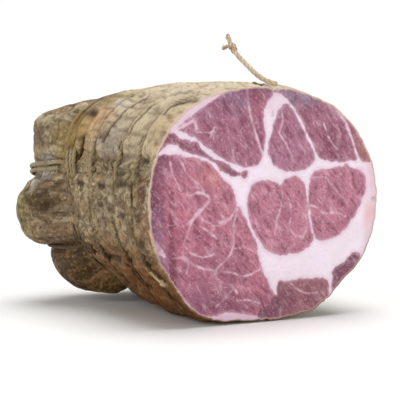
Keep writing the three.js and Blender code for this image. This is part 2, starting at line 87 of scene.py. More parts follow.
# The tail: its twine and the knot near its tip, with the routes of the tail, its tip and a short end
TAIL_WIDTH = 2.4
TAIL_FULLNESS = 1.06
TAIL_TWIST = 0.55
TAIL_KNOT_STEPS = 24
TAIL_KNOT_LONG = 0.682
TAIL_KNOT_WIDE = 0.527
TAIL_KNOT_RISE = 0.75
TAIL_KNOT_STRAND = 0.95
TAIL_ROUTE = [
    (5.6, 3.0, 110.8), (4.2, 4.3, 111.4), (2.4, 6.5, 112.4), (0.8, 8.8, 113.8), (-0.5, 12, 116.0),
    (-1.8, 15.3, 118.9), (-3.3, 18.5, 121.9), (-4.6, 21.0, 124.5), (-5.3, 22.4, 126.2),
]
KNOT_AT = Vector((-6.1, 24.3, 128.9))
KNOT_ALONG = Vector((-0.6, 1.4, 2.4)).normalized()
TAIL_TIP = [(-6.4, 25.0, 130.0), (-7.2, 26.0, 132.8), (-7.9, 26.5, 134.8)]
SIDE_TIP = [(-6.8, 24.4, 129.2), (-9.4, 23.7, 129.4), (-12.0, 23.0, 128.4)]

# The photograph's viewing angle
CAMERA_AT = (-240.2, -398.4, 80.8)
CAMERA_TURN = -27.1
CAMERA_DROP = 2.95
LENS = 90
SENSOR_WIDTH = 36


def linear(red, green, blue):
    """A colour as the eye sees it, 0 to 255, in the linear values that shaders take"""
    return [((c / 255 + 0.055) / 1.055) ** 2.4 if c > 10 else c / 3295 for c in (red, green, blue)] + [1]


def placed(name, data):
    """A new object in the scene"""
    made = bpy.data.objects.new(name, data)
    bpy.context.scene.collection.objects.link(made)
    return made


def add_camera():
    data = bpy.data.cameras.new("camera")
    data.sensor_width = SENSOR_WIDTH
    data.lens = LENS
    data.clip_start = 0.01
    camera = placed("camera", data)
    camera.location = TO_MODEL @ Vector(CAMERA_AT)
    camera.rotation_euler = (math.radians(90 - CAMERA_DROP), 0, math.radians(CAMERA_TURN))
    bpy.context.scene.camera = camera


add_camera()


# Materials

class Finish:
    """A material's nodes, wired by short calls"""

    def __init__(self, name):
        self.material = bpy.data.materials.new(name)
        self.material.use_nodes = True
        self.nodes = self.material.node_tree.nodes
        self.links = self.material.node_tree.links
        self.shader = self.nodes["Principled BSDF"]
        self.place = self.nodes.new("ShaderNodeTexCoord").outputs["Object"]

    def put(self, value, socket):
        """Joins an output to a socket, or writes a plain value into it"""
        if isinstance(value, bpy.types.NodeSocket):
            self.links.new(value, socket)
        else:
            socket.default_value = value

    def attribute(self, name, output="Fac"):
        node = self.nodes.new("ShaderNodeAttribute")
        node.attribute_name = name
        return node.outputs[output]

    def along_axis(self, axis):
        """How far along one of the model's axes a place is, in metres"""
        node = self.nodes.new("ShaderNodeSeparateXYZ")
        self.put(self.place, node.inputs[0])
        return node.outputs[axis]

    def stretched(self, place, scales):
        """Places scaled along each axis, so that a pattern's grain is longer where the scale is less"""
        node = self.nodes.new("ShaderNodeMapping")
        self.put(place, node.inputs["Vector"])
        node.inputs["Scale"].default_value = scales
        return node.outputs["Vector"]

    def turned(self, place, degrees):
        """Places turned in the plane of the cut"""
        node = self.nodes.new("ShaderNodeMapping")
        self.put(place, node.inputs["Vector"])
        node.inputs["Rotation"].default_value = (0, math.radians(degrees), 0)
        return node.outputs["Vector"]

    def noise(self, place, grain_mm, detail=3, roughness=0.5, distortion=0):
        """Cloudy noise whose lumps are about grain_mm across, from 0 to 1"""
        node = self.nodes.new("ShaderNodeTexNoise")
        self.put(place, node.inputs["Vector"])
        node.inputs["Scale"].default_value = 1 / (grain_mm * MM)
        node.inputs["Detail"].default_value = detail
        node.inputs["Roughness"].default_value = roughness
        node.inputs["Distortion"].default_value = distortion
        return node.outputs["Fac"]

    def math(self, operation, a, b=0.0):
        node = self.nodes.new("ShaderNodeMath")
        node.operation = operation
        self.put(a, node.inputs[0])
        self.put(b, node.inputs[1])
        return node.outputs[0]

    def times(self, a, b):
        return self.math("MULTIPLY", a, b)

    def larger(self, a, b):
        return self.math("MAXIMUM", a, b)

    def ramp(self, value, low, high, to_low=0.0, to_high=1.0):
        """A soft step from to_low at low to to_high at high"""
        node = self.nodes.new("ShaderNodeMapRange")
        node.interpolation_type = "SMOOTHSTEP"
        for socket, number in zip(list(node.inputs)[:5], (value, low, high, to_low, to_high)):
            self.put(number, socket)
        return node.outputs[0]

    def mix(self, share, first, second, blend="MIX"):
        node = self.nodes.new("ShaderNodeMix")
        node.data_type = "RGBA"
        node.blend_type = blend
        self.put(share, node.inputs["Factor"])
        self.put(first, node.inputs[6])
        self.put(second, node.inputs[7])
        return node.outputs[2]

    def tinted(self, colour, *tints):
        """Lays tints over a colour: a value, where in it there is none and all, strength and tint"""
        for value, none, full, strength, tint in tints:
            colour = self.mix(self.ramp(value, none, full, 0.0, strength), colour, tint)
        return colour

    def bump(self, height, distance_mm, strength=1.0, normal=None):
        node = self.nodes.new("ShaderNodeBump")
        node.inputs["Distance"].default_value = distance_mm * MM
        node.inputs["Strength"].default_value = strength
        self.put(height, node.inputs["Height"])
        if normal is not None:
            self.put(normal, node.inputs["Normal"])
        return node.outputs["Normal"]

    def shade(self, **values):
        """Writes or joins the shader's own sockets, by their names in small letters"""
        for name, value in values.items():
            self.put(value, self.shader.inputs[name.replace("_", " ").title().replace("Ior", "IOR")])
        return self.material


# Low down the twine is darker, between these heights: this much of each colour comes through
LOW_DARKENING = linear(152, 124, 98)
LOW_DARKENING_FROM = 0.052
LOW_DARKENING_FULL = 0.026


def twine_finish(name, light, dark, stained, low_darkening=1.0):
    """Twisted cotton: light plies, painted shade in the grooves between them, and stains from the curing
    room
    """
    light, dark, stained = (linear(*colour) for colour in (light, dark, stained))
    finish = Finish(name)
    groove = finish.attribute("groove")
    stains = finish.noise(finish.place, 9, detail=3, roughness=0.6)
    along = finish.attribute("along", "Vector")
    fibres = finish.noise(finish.stretched(along, (0.35, 2.2, 1)), 1.0, detail=4)
    streaked = finish.tinted(light, (stains, 0.38, 0.66, 1.0, stained), (fibres, 0.35, 0.75, 0.35, dark))
    # Painted shade: the grooves between the plies take the dark colour, which also tints the fibres above
    colour = finish.mix(finish.times(groove, 0.6), streaked, dark)
    # Darker low down, towards the floor
    low = finish.ramp(finish.along_axis("Z"), LOW_DARKENING_FROM, LOW_DARKENING_FULL, 0.0, low_darkening)
    colour = finish.mix(low, colour, LOW_DARKENING, "MULTIPLY")
    normal = finish.bump(fibres, 0.15, 0.6)
    return finish.shade(
        base_color=colour, roughness=0.88, normal=normal, sheen_weight=0.15, sheen_roughness=0.6,
        specular_ior_level=0.25,
    )


TWINE = twine_finish("twine", (176, 158, 122), (112, 94, 64), (136, 117, 84))
PALE_TWINE = twine_finish("pale_twine", (228, 214, 190), (158, 134, 104), (208, 188, 156), 0.2)
TWINE_TIP = twine_finish("twine_tip", (222, 204, 166), (128, 100, 64), (190, 164, 120), 0.0)
KNOT_TWINE = twine_finish("knot_twine", (220, 198, 166), (112, 76, 42), (158, 112, 68))


# Mesh helpers

def piece(name, bm, material, replaced=()):
    """Makes a mesh in millimetres a piece of the coppa, in place of some of the frame's nodes"""
    bm.transform(TO_MODEL)
    mesh = bpy.data.meshes.new(name)
    bm.to_mesh(mesh)
    bm.free()
    mesh.shade_smooth()
    mesh.materials.append(material)
    made = placed(name, mesh)
    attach(made, "root")
    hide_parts(*replaced)
    return made


def node_mesh(name):
    """A node's mesh in millimetres in the frame of the cut, with its loose triangles joined"""
    bm = bmesh.new()
    bm.from_mesh(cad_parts[name].data)
    bm.transform(TO_CUT)
    bmesh.ops.remove_doubles(bm, verts=bm.verts, dist=0.01)
    return bm


def ends_closed(bm):
    """Fills a mesh's openings and turns its faces outwards"""
    bmesh.ops.holes_fill(bm, edges=[e for e in bm.edges if e.is_boundary], sides=0)
    bmesh.ops.recalc_face_normals(bm, faces=bm.faces)
    return bm


def part_way(start, end, share):
    return start + (end - start) * share


def clipped(value):
    return min(1, max(0, value))


def risen(value, start, width):
    """0 up to a start and 1 from a width beyond it; with a width below 0, the other way round"""
    return clipped((value - start) / width)


def eased(share):
    return share ** 2 * (3 - 2 * share)


def lumpy(point, lumps):
    """Several noises together, each with its height and its grain in millimetres"""
    return sum(height * noise.noise(point / grain) for height, grain in lumps)


def middle_of(places):
    return sum(places, Vector()) / len(places)


def smooth_line(points, closed=False, step=RING_STEP):
    """Stations about a step apart on a smooth line that passes through all the points"""
    points = [Vector(p) for p in points]
    count = len(points)
    if closed:
        held = [points[i % count] for i in range(-1, count + 2)]
    else:
        held = [points[0] * 2 - points[1], *points, points[-1] * 2 - points[-2]]
    dense = []
    for a, b, c, d in zip(held, held[1:], held[2:], held[3:]):
        time_b = (b - a).length ** 0.5
        time_c = time_b + (c - b).length ** 0.5
        time_d = time_c + (d - c).length ** 0.5
        pieces = max(2, round((c - b).length / step))
        for k in range(pieces):
            time = part_way(time_b, time_c, k / pieces)
            ab = part_way(a, b, time / time_b)
            bc = part_way(b, c, (time - time_b) / (time_c - time_b))
            cd = part_way(c, d, (time - time_c) / (time_d - time_c))
            abc = part_way(ab, bc, time / time_c)
            bcd = part_way(bc, cd, (time - time_b) / (time_d - time_b))
            dense.append(part_way(abc, bcd, (time - time_b) / (time_c - time_b)))
    dense.append(held[-2])
    gone = [0.0]
    for before, after in zip(dense, dense[1:]):
        gone.append(gone[-1] + (after - before).length)
    spots = np.linspace(0, gone[-1], max(3, round(gone[-1] / step) + 1))
    columns = [np.interp(spots, gone, [p[axis] for p in dense]) for axis in range(3)]
    return [Vector(p) for p in zip(*columns)]


def line_length(line):
    return sum((b - a).length for a, b in zip(line, line[1:]))


def from_heart(point):
    """The way out of the meat at a point, from its middle line"""
    along = HEART_BACK - HEART_FRONT
    share = clipped((point - HEART_FRONT).dot(along) / along.length_squared)
    return point - part_way(HEART_FRONT, HEART_BACK, share)


def ply_reach(angle):
    """How far the skin of three twisted plies is from their middle, against the twine's radius"""
    third = 2 * math.pi / PLIES
    off = (angle + third / 2) % third - third / 2
    return PLY_OFFSET * math.cos(off) + math.sqrt(PLY_RADIUS ** 2 - (PLY_OFFSET * math.sin(off)) ** 2)


def stations(line, closed, outward):
    """Each place on a line with the way outwards from it and the way across"""
    last = len(line) - 1
    made = []
    for i, centre in enumerate(line):
        ahead = line[(i + 1) % last] if closed else line[min(i + 1, last)]
        behind = line[(i - 1) % last] if closed else line[max(i - 1, 0)]
        along = (ahead - behind).normalized()
        away = outward(centre)
        away = (away - along * away.dot(along)).normalized()
        made.append((centre, away, along.cross(away)))
    return made


def twine_mesh(line, radius, closed=False, outward=from_heart, seed=0.0, taper=0.0, twist=1.0):
    """Three-ply twine along a line: a sheet rolled round it, with its seam and its ends closed"""
    bm = bmesh.new()
    bm.loops.layers.uv.new("twine")
    rings = len(line) - 1
    sides = PLIES * SIDES_PER_PLY
    bmesh.ops.create_grid(bm, x_segments=rings, y_segments=sides, size=0.5, calc_uvs=True)
    groove = bm.verts.layers.float.new("groove")
    along_layer = bm.verts.layers.float_vector.new("along")
    length = line_length(line)
    turns = length / PLY_TURN
    if closed:
        turns = round(turns * PLIES) / PLIES
    frames = stations(line, closed, outward)
    for vert in bm.verts:
        i = round((vert.co.x + 0.5) * rings)
        j = round((vert.co.y + 0.5) * sides)
        centre, away, side = frames[i % rings if closed else i]
        ply_angle = 2 * math.pi * j / sides
        angle = ply_angle + 2 * math.pi * turns * i / rings
        uneven = 1
        if not closed or i not in (0, rings):
            uneven += UNEVEN * noise.noise(centre * UNEVEN_PER_MM + Vector((seed, 0, 0)))
        slimmer = 1 - taper * (i / rings) ** 2
        reach = radius * part_way(1, ply_reach(ply_angle), twist) * uneven * slimmer
        vert.co = centre + away * (reach * math.cos(angle)) + side * (reach * math.sin(angle))
        vert.co.z = max(vert.co.z, LOWEST_TWINE)
        vert[groove] = clipped((GROOVE_REACH - ply_reach(ply_angle)) / GROOVE_DEPTH)
        vert[along_layer] = Vector((i * length / rings * MM, ply_angle * radius * MM, seed * MM))
    bmesh.ops.remove_doubles(bm, verts=bm.verts, dist=SEAM_GAP)
    return ends_closed(bm)


def joined(meshes):
    """Several meshes as one"""
    whole = meshes[0]
    for part in meshes[1:]:
        spare = bpy.data.meshes.new("spare")
        part.to_mesh(spare)
        part.free()
        whole.from_mesh(spare)
        bpy.data.meshes.remove(spare)
    return whole


def drawn_way(draw, size):
    """A random way, up to a size along each axis"""
    return Vector((draw.uniform(-1, 1), draw.uniform(-1, 1), draw.uniform(-1, 1))) * size


def frayed_tip(start, along, length, seed, count=7, spread=0.38):
    """Loose fibres that stand out of the end of a twine"""
    draw = random.Random(seed)
    tufts = []
    for _ in range(count):
        way = (along + drawn_way(draw, spread)).normalized()
        bend = drawn_way(draw, 0.25)
        reach = length * draw.uniform(0.6, 1)
        points = [start, start + way * reach * 0.5, start + (way + bend).normalized() * reach]
        line = smooth_line(points)
        tufts.append(twine_mesh(line, FIBRE_RADIUS, outward=lambda p: Vector((1, 0.2, 0.1)), taper=0.7))
    return tufts


# The tail, a free cord that stands up stiffly, and the knot at its tip

def trefoil(steps, place):
    """A line knotted once: place turns an angle, a reach and a rise, both up to 1, into a point"""
    points = []
    for k in range(steps):
        turn = 4 * math.pi * k / steps
        points.append(place(turn, 2 + math.cos(1.5 * turn), math.sin(1.5 * turn)))
    return smooth_line(points, closed=True)


def fray_after(points, length, **ways):
    """Loose fibres at the end of a line, from a millimetre before it"""
    end, before = Vector(points[-1]), Vector(points[-2])
    along = (end - before).normalized()
    return frayed_tip(end - along, along, length, **ways)


def add_tail():
    line = smooth_line(TAIL_ROUTE + [tuple(KNOT_AT)] + TAIL_TIP)
    radius = TAIL_WIDTH / 2 * TAIL_FULLNESS
    twine = twine_mesh(line, radius, outward=lambda p: Vector((1, 0.3, 0)), twist=TAIL_TWIST)
    tail = piece("twine_tail", twine, PALE_TWINE, ["tail"])
    across = KNOT_ALONG.cross(Vector((1, 0, 0))).normalized()
    over = KNOT_ALONG.cross(across)

    def knot_place(turn, reach, rise):
        long = KNOT_ALONG * (TAIL_KNOT_LONG * reach * math.cos(turn))
        wide = across * (TAIL_KNOT_WIDE * reach * math.sin(turn))
        return KNOT_AT + long + wide + over * (TAIL_KNOT_RISE * rise)

    loops = trefoil(TAIL_KNOT_STEPS, knot_place)
    loops = twine_mesh(loops, TAIL_KNOT_STRAND, closed=True, outward=lambda p: over)
    side = twine_mesh(smooth_line(SIDE_TIP), 1.0, outward=lambda p: Vector((0, 0.2, 1)))
    fibres = fray_after(TAIL_TIP, length=2.6, seed=3)
    fibres += fray_after(SIDE_TIP, length=2.2, seed=4, count=12, spread=0.8)
    knot = piece("twine_tail_knot", joined([loops, side, *fibres]), KNOT_TWINE, ["tail_knot"])


add_tail()


# The twine round the meat

def rings_from_end(bm, first):
    """The middles of a twine's rings, stepping along its mesh from the vertices of one end"""
    seen = set(first)
    ring = list(first)
    centres = []
    while ring:
        centres.append(middle_of([v.co for v in ring]))
        after = {e.other_vert(v) for v in ring for e in v.link_edges} - seen
        seen |= after
        ring = list(after)
    return centres


def string_line(name):
    """The middle line of a lengthwise string; its ends are fans round a middle vertex"""
    bm = node_mesh(name)
    front = min(bm.verts, key=lambda v: v.co.y)
    fans = [v for v in bm.verts if flat_round(v)]
    start = min(fans, key=lambda v: (v.co - front.co).length)
    centres = rings_from_end(bm, [start])
    bm.free()
    return centres[1:-1] if (centres[1] - centres[0]).length < 0.2 else centres


def flat_round(vert):
    """True where all the faces round a vertex lie in one plane"""
    first = vert.link_faces[0].normal
    return all(face.normal.dot(first) > 0.999 for face in vert.link_faces)


def section_middles(corners):
    """The middles of a solid twine's sections, from its corners in the order of the sections"""
    starts = range(0, len(corners) - SOLID_SIDES + 1, SOLID_SIDES)
    return [middle_of(corners[i:i + SOLID_SIDES]) for i in starts]


def hoop_line(name):
    """The middle line of a hoop, whose first section lies half before the seam of the angles"""
    bm = node_mesh(name)
    corners = [v.co.copy() for v in bm.verts]
    bm.free()
    middle = middle_of(corners)
    corners.sort(key=lambda corner: math.atan2(corner.z - middle.z, corner.x - middle.x))
    half = SOLID_SIDES // 2
    return section_middles(corners[half:] + corners[:half])


HOOPS = ["hoop_1", "hoop_2", "hoop_3", "band_1", "band_2", "band_3"]
STRINGS = [
    "string_top", "string_upper_left", "string_lower_left", "string_bottom_left",
    "string_bottom_right", "string_right", "string_upper_right", "doubled_strand",
]


def add_twine():
    """Every hoop and string as twisted twine; returns all their middle lines"""
    lines = []
    for k, name in enumerate(HOOPS):
        line = smooth_line(hoop_line(name), closed=True)
        twine = twine_mesh(line, TWINE_RADIUS, closed=True, seed=k)
        piece(f"twine_{name}", twine, TWINE, [name])
        lines.append(line)
    for k, name in enumerate(STRINGS):
        line = smooth_line(string_line(name))
        piece(f"twine_{name}", twine_mesh(line, TWINE_RADIUS, seed=20 + k), TWINE, [name])
        lines.append(line)
    return lines


twine_lines = add_twine()


def short_end_line(name):
    """The middle line of a short end, whose sections follow one another along it"""
    bm = node_mesh(name)
    corners = [v.co.copy() for v in bm.verts]
    bm.free()
    ways = (end - start for start in corners for end in corners)
    along = max(ways, key=lambda way: way.length)
    corners.sort(key=lambda corner: corner.dot(along))
    return section_middles(corners)


# The short ends of twine: name, finish, radius and the radius of the nub at the tip
SHORT_ENDS = [("loose_end", TWINE_TIP, 0.75, 1.5), ("rim_end", PALE_TWINE, 0.9, 1.0)]
# How far the nub and the fibres go back into the twine from its end
NUB_BACK = 0.2
FIBRES_BACK = 1.4


def add_short_ends():
    """The knotted end beside the cut and the strand at its rim, both with frayed tips"""
    for k, (name, finish, strand, nub) in enumerate(SHORT_ENDS):
        line = smooth_line(short_end_line(name))
        if line[0].y > line[-1].y:
            line.reverse()
        twine = twine_mesh(line, strand, seed=40 + k)
        along = (line[0] - line[3]).normalized()
        turned_in = smooth_line([line[3], line[1], line[0] - along * NUB_BACK])
        turned_in = twine_mesh(turned_in, nub, seed=50 + k)
        start = line[0] - along * FIBRES_BACK
        fibres = frayed_tip(start, along, length=2.6, seed=10 + k, count=26, spread=1.3)
        piece(f"twine_{name}", joined([twine, turned_in, *fibres]), finish, [name])


add_short_ends()


def add_end_knot():
    """The knot at the lobed end, where all the strings meet"""
    low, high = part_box("end_knot")
    middle = TO_CUT @ ((low + high) / 2)
    half = END_KNOT_RADIUS / 2

    def knot_place(turn, reach, rise):
        return middle + Vector((reach * math.cos(turn), -rise, reach * math.sin(turn))) * half

    line = trefoil(KNOT_STEPS, knot_place)
    knot = twine_mesh(line, TWINE_RADIUS, closed=True, outward=lambda p: p - middle + Vector((0, 1, 0)))
    piece("twine_end_knot", knot, TWINE, ["end_knot"])


add_end_knot()


# The casing

CASING_BASE = linear(176, 153, 116)
CASING_BROWN = linear(128, 103, 70)
# Dark flecks low down, and the colour of the painted shade in the creases, folds and hollows and beside the
# twine
CASING_DARK = linear(50, 28, 8)
CASING_AMBER = linear(156, 102, 44)
CASING_LOW_PALE = linear(150, 114, 70)
CASING_RIM = linear(222, 194, 176)
# The darkening below, partly the casing's own browner stain and partly painted shade, lets this much of each
# colour through
CASING_STAIN_AND_SHADE = linear(206, 184, 152)
CASING_BLOOM = linear(212, 198, 166)
CASING_MOTTLE = linear(84, 68, 42)
# Where the looks change, in metres: heights, and how far back in the model's frame. Each has the
# place where the change starts and where it is whole
CROWN_TO_FLANK = (0.098, 0.078)
BODY_TO_LOBES = (0.010, 0.018)
AMBER_BELOW = (0.040, 0.020)
AMBER_BEFORE = (-0.012, 0.012)
STAIN_AND_SHADE_BELOW = (0.052, 0.012)
PATCHY_BELOW = (0.056, 0.038)
RIM_PALES_ABOVE = (0.02, 0.05)
# How far the clouds shift these heights
CLOUD_SHIFT = 0.05
# The patterns on the casing: where each starts and is whole in its noise, its strength and colour
CASING_PATTERNS = [
    ("streaks", 0.48, 0.68, 0.65, CASING_BROWN),
    ("pale", 0.50, 0.66, 0.65, CASING_BLOOM),
    ("spots", 0.51, 0.66, 0.85, CASING_MOTTLE),
    ("flecks", 0.53, 0.67, 0.65, CASING_BLOOM),
    ("flecks", 0.48, 0.33, 0.75, CASING_MOTTLE),
]
# How long an edge of the coarse casing may stay: on the left, and at the right and below, which
# is right of x and under a height, or under a lower height on either side
LONG_EDGE = 4.0
LONG_EDGE_BEHIND = 6.5
BEHIND_RIGHT_OF = 20
BEHIND_UNDER = 95
FLOOR_SIDE_UNDER = 8
FINE_BESIDE_CREASE = 1.6
# How far from a twine's middle a crease starts to sink the casing
CREASE_CLEAR = 1.6
# Where a crease and a hollow end, in half widths and in radii from their middles
CREASE_EDGE = 1.25
PIT_EDGE = 1.3
# A crease's painted shade is whole nearer to its edge than its depth is; the least painted shade of one
CREASE_CONTRAST = 1.2
SHALLOW_DARKNESS = 0.25
# The casing's thickness at the cut and how deep its opening is
CASING_EDGE = 0.45
RECESS = 1.6
# How far back its pale rim reaches, at the least too; how much that and the thickness vary
PALE_RIM = 1.2
LEAST_RIM = 0.5
RIM_VARIES = 1.6
EDGE_VARIES = 0.5
RIM_GRAIN = 5
LOWEST_CASING = 0.02
# A mark's place counts as on the skin up to this far above or below it
SKIN_DEPTH = 4
TWINE_PRESS = 0.12
# The dried casing stands up beside the twine: how high over its own level, how far from it, and
# how far over its middle in the places where it has grown over it
TWINE_SEAT = 1.6
BANK = 2.2
TOP_BANK = 0.7
GROWN_OVER = 1.4
BANK_REACH = 6.5
# How far the casing has grown over the twine: everywhere, more at the left, and as it varies
COVERED = 0.7
COVERED_AT_LEFT = 0.5
COVERED_VARIES = 2.2
COVERED_GRAIN = 9
# Where the casing's shape changes, in millimetres: the start of each change and its width
LOBES_START = (78, 8)
BODY_END = (80, 5)
TOP_START = (78, 12)
LEFT_START = (-20, -8)
UPPER_START = (74, 6)
LOWER_START = (46, -8)
TWINE_BACK = (1.7, -0.7)
# The casing rolled out: its mean radius, where its length starts and how far it leans to the left
SKIN_RADIUS = 52
SKIN_START = 55
SKIN_LEAN = 0.1
# Its relief: heights and grains of the lumps, and of the wrinkles along it, which are higher
# beside the twine by the second number and have a grain across and a grain along the coppa
LUMPS = [(0.55, 14), (0.10, 1.9)]
WRINKLES = [(0.30, 0, 2.6, 11), (0.14, 0.22, 1.5, 14)]
GATHERED_REACH = 5
# Folds along it: grain across and along, half width against the noise, depth, and more on the lobes
FOLD_GRAIN = (5.5, 26)
FOLD_WIDTH = 0.13
FOLD_DEPTH = 0.45
LOBE_FOLD_DEPTH = 0.15
CROSS_FOLD_GRAIN = 9
CROSS_FOLD_WIDTH = 0.07
CROSS_FOLD_DEPTH = 0.25
# How dark the painted shade in the bottoms of both kinds of fold is
FOLD_DARKNESS = 0.6
CROSS_FOLD_DARKNESS = 0.5
# How far from a twine's middle the casing darkens beside it, partly with dirt and partly with painted shade
SEATED_REACH = 2.6
# How uneven the outlines of the patches of tone are, and how far out they reach
TONE_UNEVEN = 0.45
TONE_EDGE = 1.5
# Creases in the casing, sunk and darkened with painted shade: half width and depth in millimetres and the
# places that each runs through
CREASES = [
    (0.9, 1.5, [
        (-62, 51, 84), (-61, 51, 86), (-59, 50, 90), (-57.5, 49, 92.5), (-55, 48.5, 95.5),
        (-52.5, 48.5, 98.5), (-50.5, 48, 100), (-48.5, 46.5, 101.5), (-46, 45.5, 103), (-43.5, 44, 104.5),
    ]),
    (0.9, 1.5, [
        (-60.5, 36, 81), (-59.5, 35, 83.5), (-58, 31.5, 88), (-56, 31.5, 91), (-54.5, 31, 93),
        (-52, 30.5, 95.5), (-50, 29.5, 98), (-47, 30, 99.5), (-45.5, 29, 100.5), (-44, 27.5, 102),
        (-42, 26, 103.5), (-38.5, 27.5, 105.5),
    ]),
    (1.1, 1.5, [
        (-48.5, 12, 97), (-45.5, 12, 98.5), (-44, 11, 100), (-42, 10, 101), (-40, 8.5, 101.2), (-38, 7, 102),
    ]),
    (0.8, 1.0, [(-40, 12, 103.5), (-38, 10.5, 104), (-36, 10, 105), (-32.5, 10, 106.5)]),
    (0.9, 0.8, [(-44, 58.7, 106), (-45, 54, 105.3)]),
    (0.7, 0.6, [(-51, 17, 91), (-49, 17, 93.4)]),
    (0.7, 0.6, [(-57, 18, 82.6), (-55.4, 17.6, 85.2)]),
    (0.9, 1.2, [
        (-66.8, 66.2, 86.4), (-67.2, 65.8, 83.5), (-67.2, 67.3, 80), (-66.4, 71, 76.6), (-66.3, 72.1, 73.1),
    ]),
    (2.2, 0.6, [(-86, 101.5, 57), (-83.6, 94, 52), (-80, 89.5, 51), (-76, 86.5, 52)]),
    (1.6, 0.5, [(-86, 96, 55.6), (-81.5, 90.5, 57.5), (-76, 87, 61), (-71, 84, 65.4)]),
    (1.4, 0.4, [(-85, 94, 48.7), (-82, 92, 46), (-77, 88, 43)]),
    (0.8, 0.7, [(-76, 105, 68.5), (-81, 105, 64), (-86, 101.5, 60)]),
    (0.8, 0.6, [(-71, 92, 71), (-76, 96, 69), (-80, 100, 64)]),
    (1.4, 1.4, [
        (-67, 80, 42), (-61, 80, 34), (-57.5, 77, 26), (-54.8, 77, 23), (-52.8, 77.2, 20.8), (-50, 79, 18.7),
    ]),
    (2.0, 1.2, [(-51.4, 58.6, 18.7), (-50.8, 52.3, 18.4), (-49.8, 52.4, 16.3), (-47, 57.6, 13.3)]),
    (1.4, 1.3, [(-54.1, 40.1, 25.2), (-54.1, 35.3, 24.1), (-51.6, 38.8, 21.4), (-50.8, 38.3, 20)]),
    (2.1, 1.3, [(-50.8, 38.3, 20), (-50, 37.7, 19.3), (-47.7, 36.4, 17.1), (-47.6, 30.3, 15.2)]),
    (1.6, 1.5, [
        (-54.9, 20.2, 28.7), (-54.3, 18.2, 27.1), (-53.6, 16.5, 25.6), (-53.4, 12.4, 24.2),
        (-52.5, 11.1, 23.4), (-51.3, 10.4, 22.3),
    ]),
    (2.0, 1.6, [
        (-45.6, 18.7, 16.6), (-44.6, 15.6, 13.7), (-43, 12.9, 11.3), (-41.3, 9.2, 9.2), (-37.6, 5.7, 6.5),
    ]),
    (0.9, 0.9, [(-59.5, 20, 71), (-61.5, 17, 67.5), (-63, 16, 64), (-63.5, 14.5, 60), (-63.5, 13.5, 54)]),
    (0.8, 0.7, [(-64.2, 56, 75), (-64.6, 57, 70)]),
    (0.8, 0.7, [(-60.8, 42, 75), (-61, 41, 71.5), (-63.4, 35, 66), (-65, 31, 59)]),
]
# Small hollows in the casing, sunk and darkened with painted shade: place and radius
PITS = [
    ((-63.2, 25.5, 64.5), 2.5), ((-64.2, 25, 50.4), 1.9), ((-64, 26, 56), 1.2),
    ((-65.7, 46.6, 63.2), 2.1), ((-66.4, 46, 54), 1.8), ((-66.3, 48.5, 51), 1.1), ((-69, 65, 64), 1.7),
    ((-57.7, 11, 75), 1.7), ((-58.3, 58.5, 29.5), 2.5), ((-57, 53, 28.5), 2.8), ((-56.7, 48, 27.5), 2.3),
    ((-54.2, 55.6, 22), 1.4), ((-79.5, 90, 52), 3.4), ((-62, 69.5, 99), 2.6),
]
PIT_DEPTH = 0.7
# How far a hollow reaches along the coppa from its middle, in radii
PIT_LENGTH = 1.1
# Where the casing swells out, or with a minus is drawn in: place, reach along x, y and z, and height
SWELLS = [
    ((-47, 0, 16), (26, 9, 26), 3.4),
    ((27, 0, 6), (22, 20, 22), 3.6),
    ((-74, 109, 95), (13, 13, 13), 3.8),
    ((-65, 97, 102), (9, 9, 9), -1.6),
    ((-77, 111, 76), (9, 9, 9), -1.8),
    ((-78, 106, 35), (17, 17, 17), 3.6),
    ((-46, 84, 8), (16, 16, 12), 2.8),
    ((-39, 86, 6), (11, 14, 10), 1.5),
]
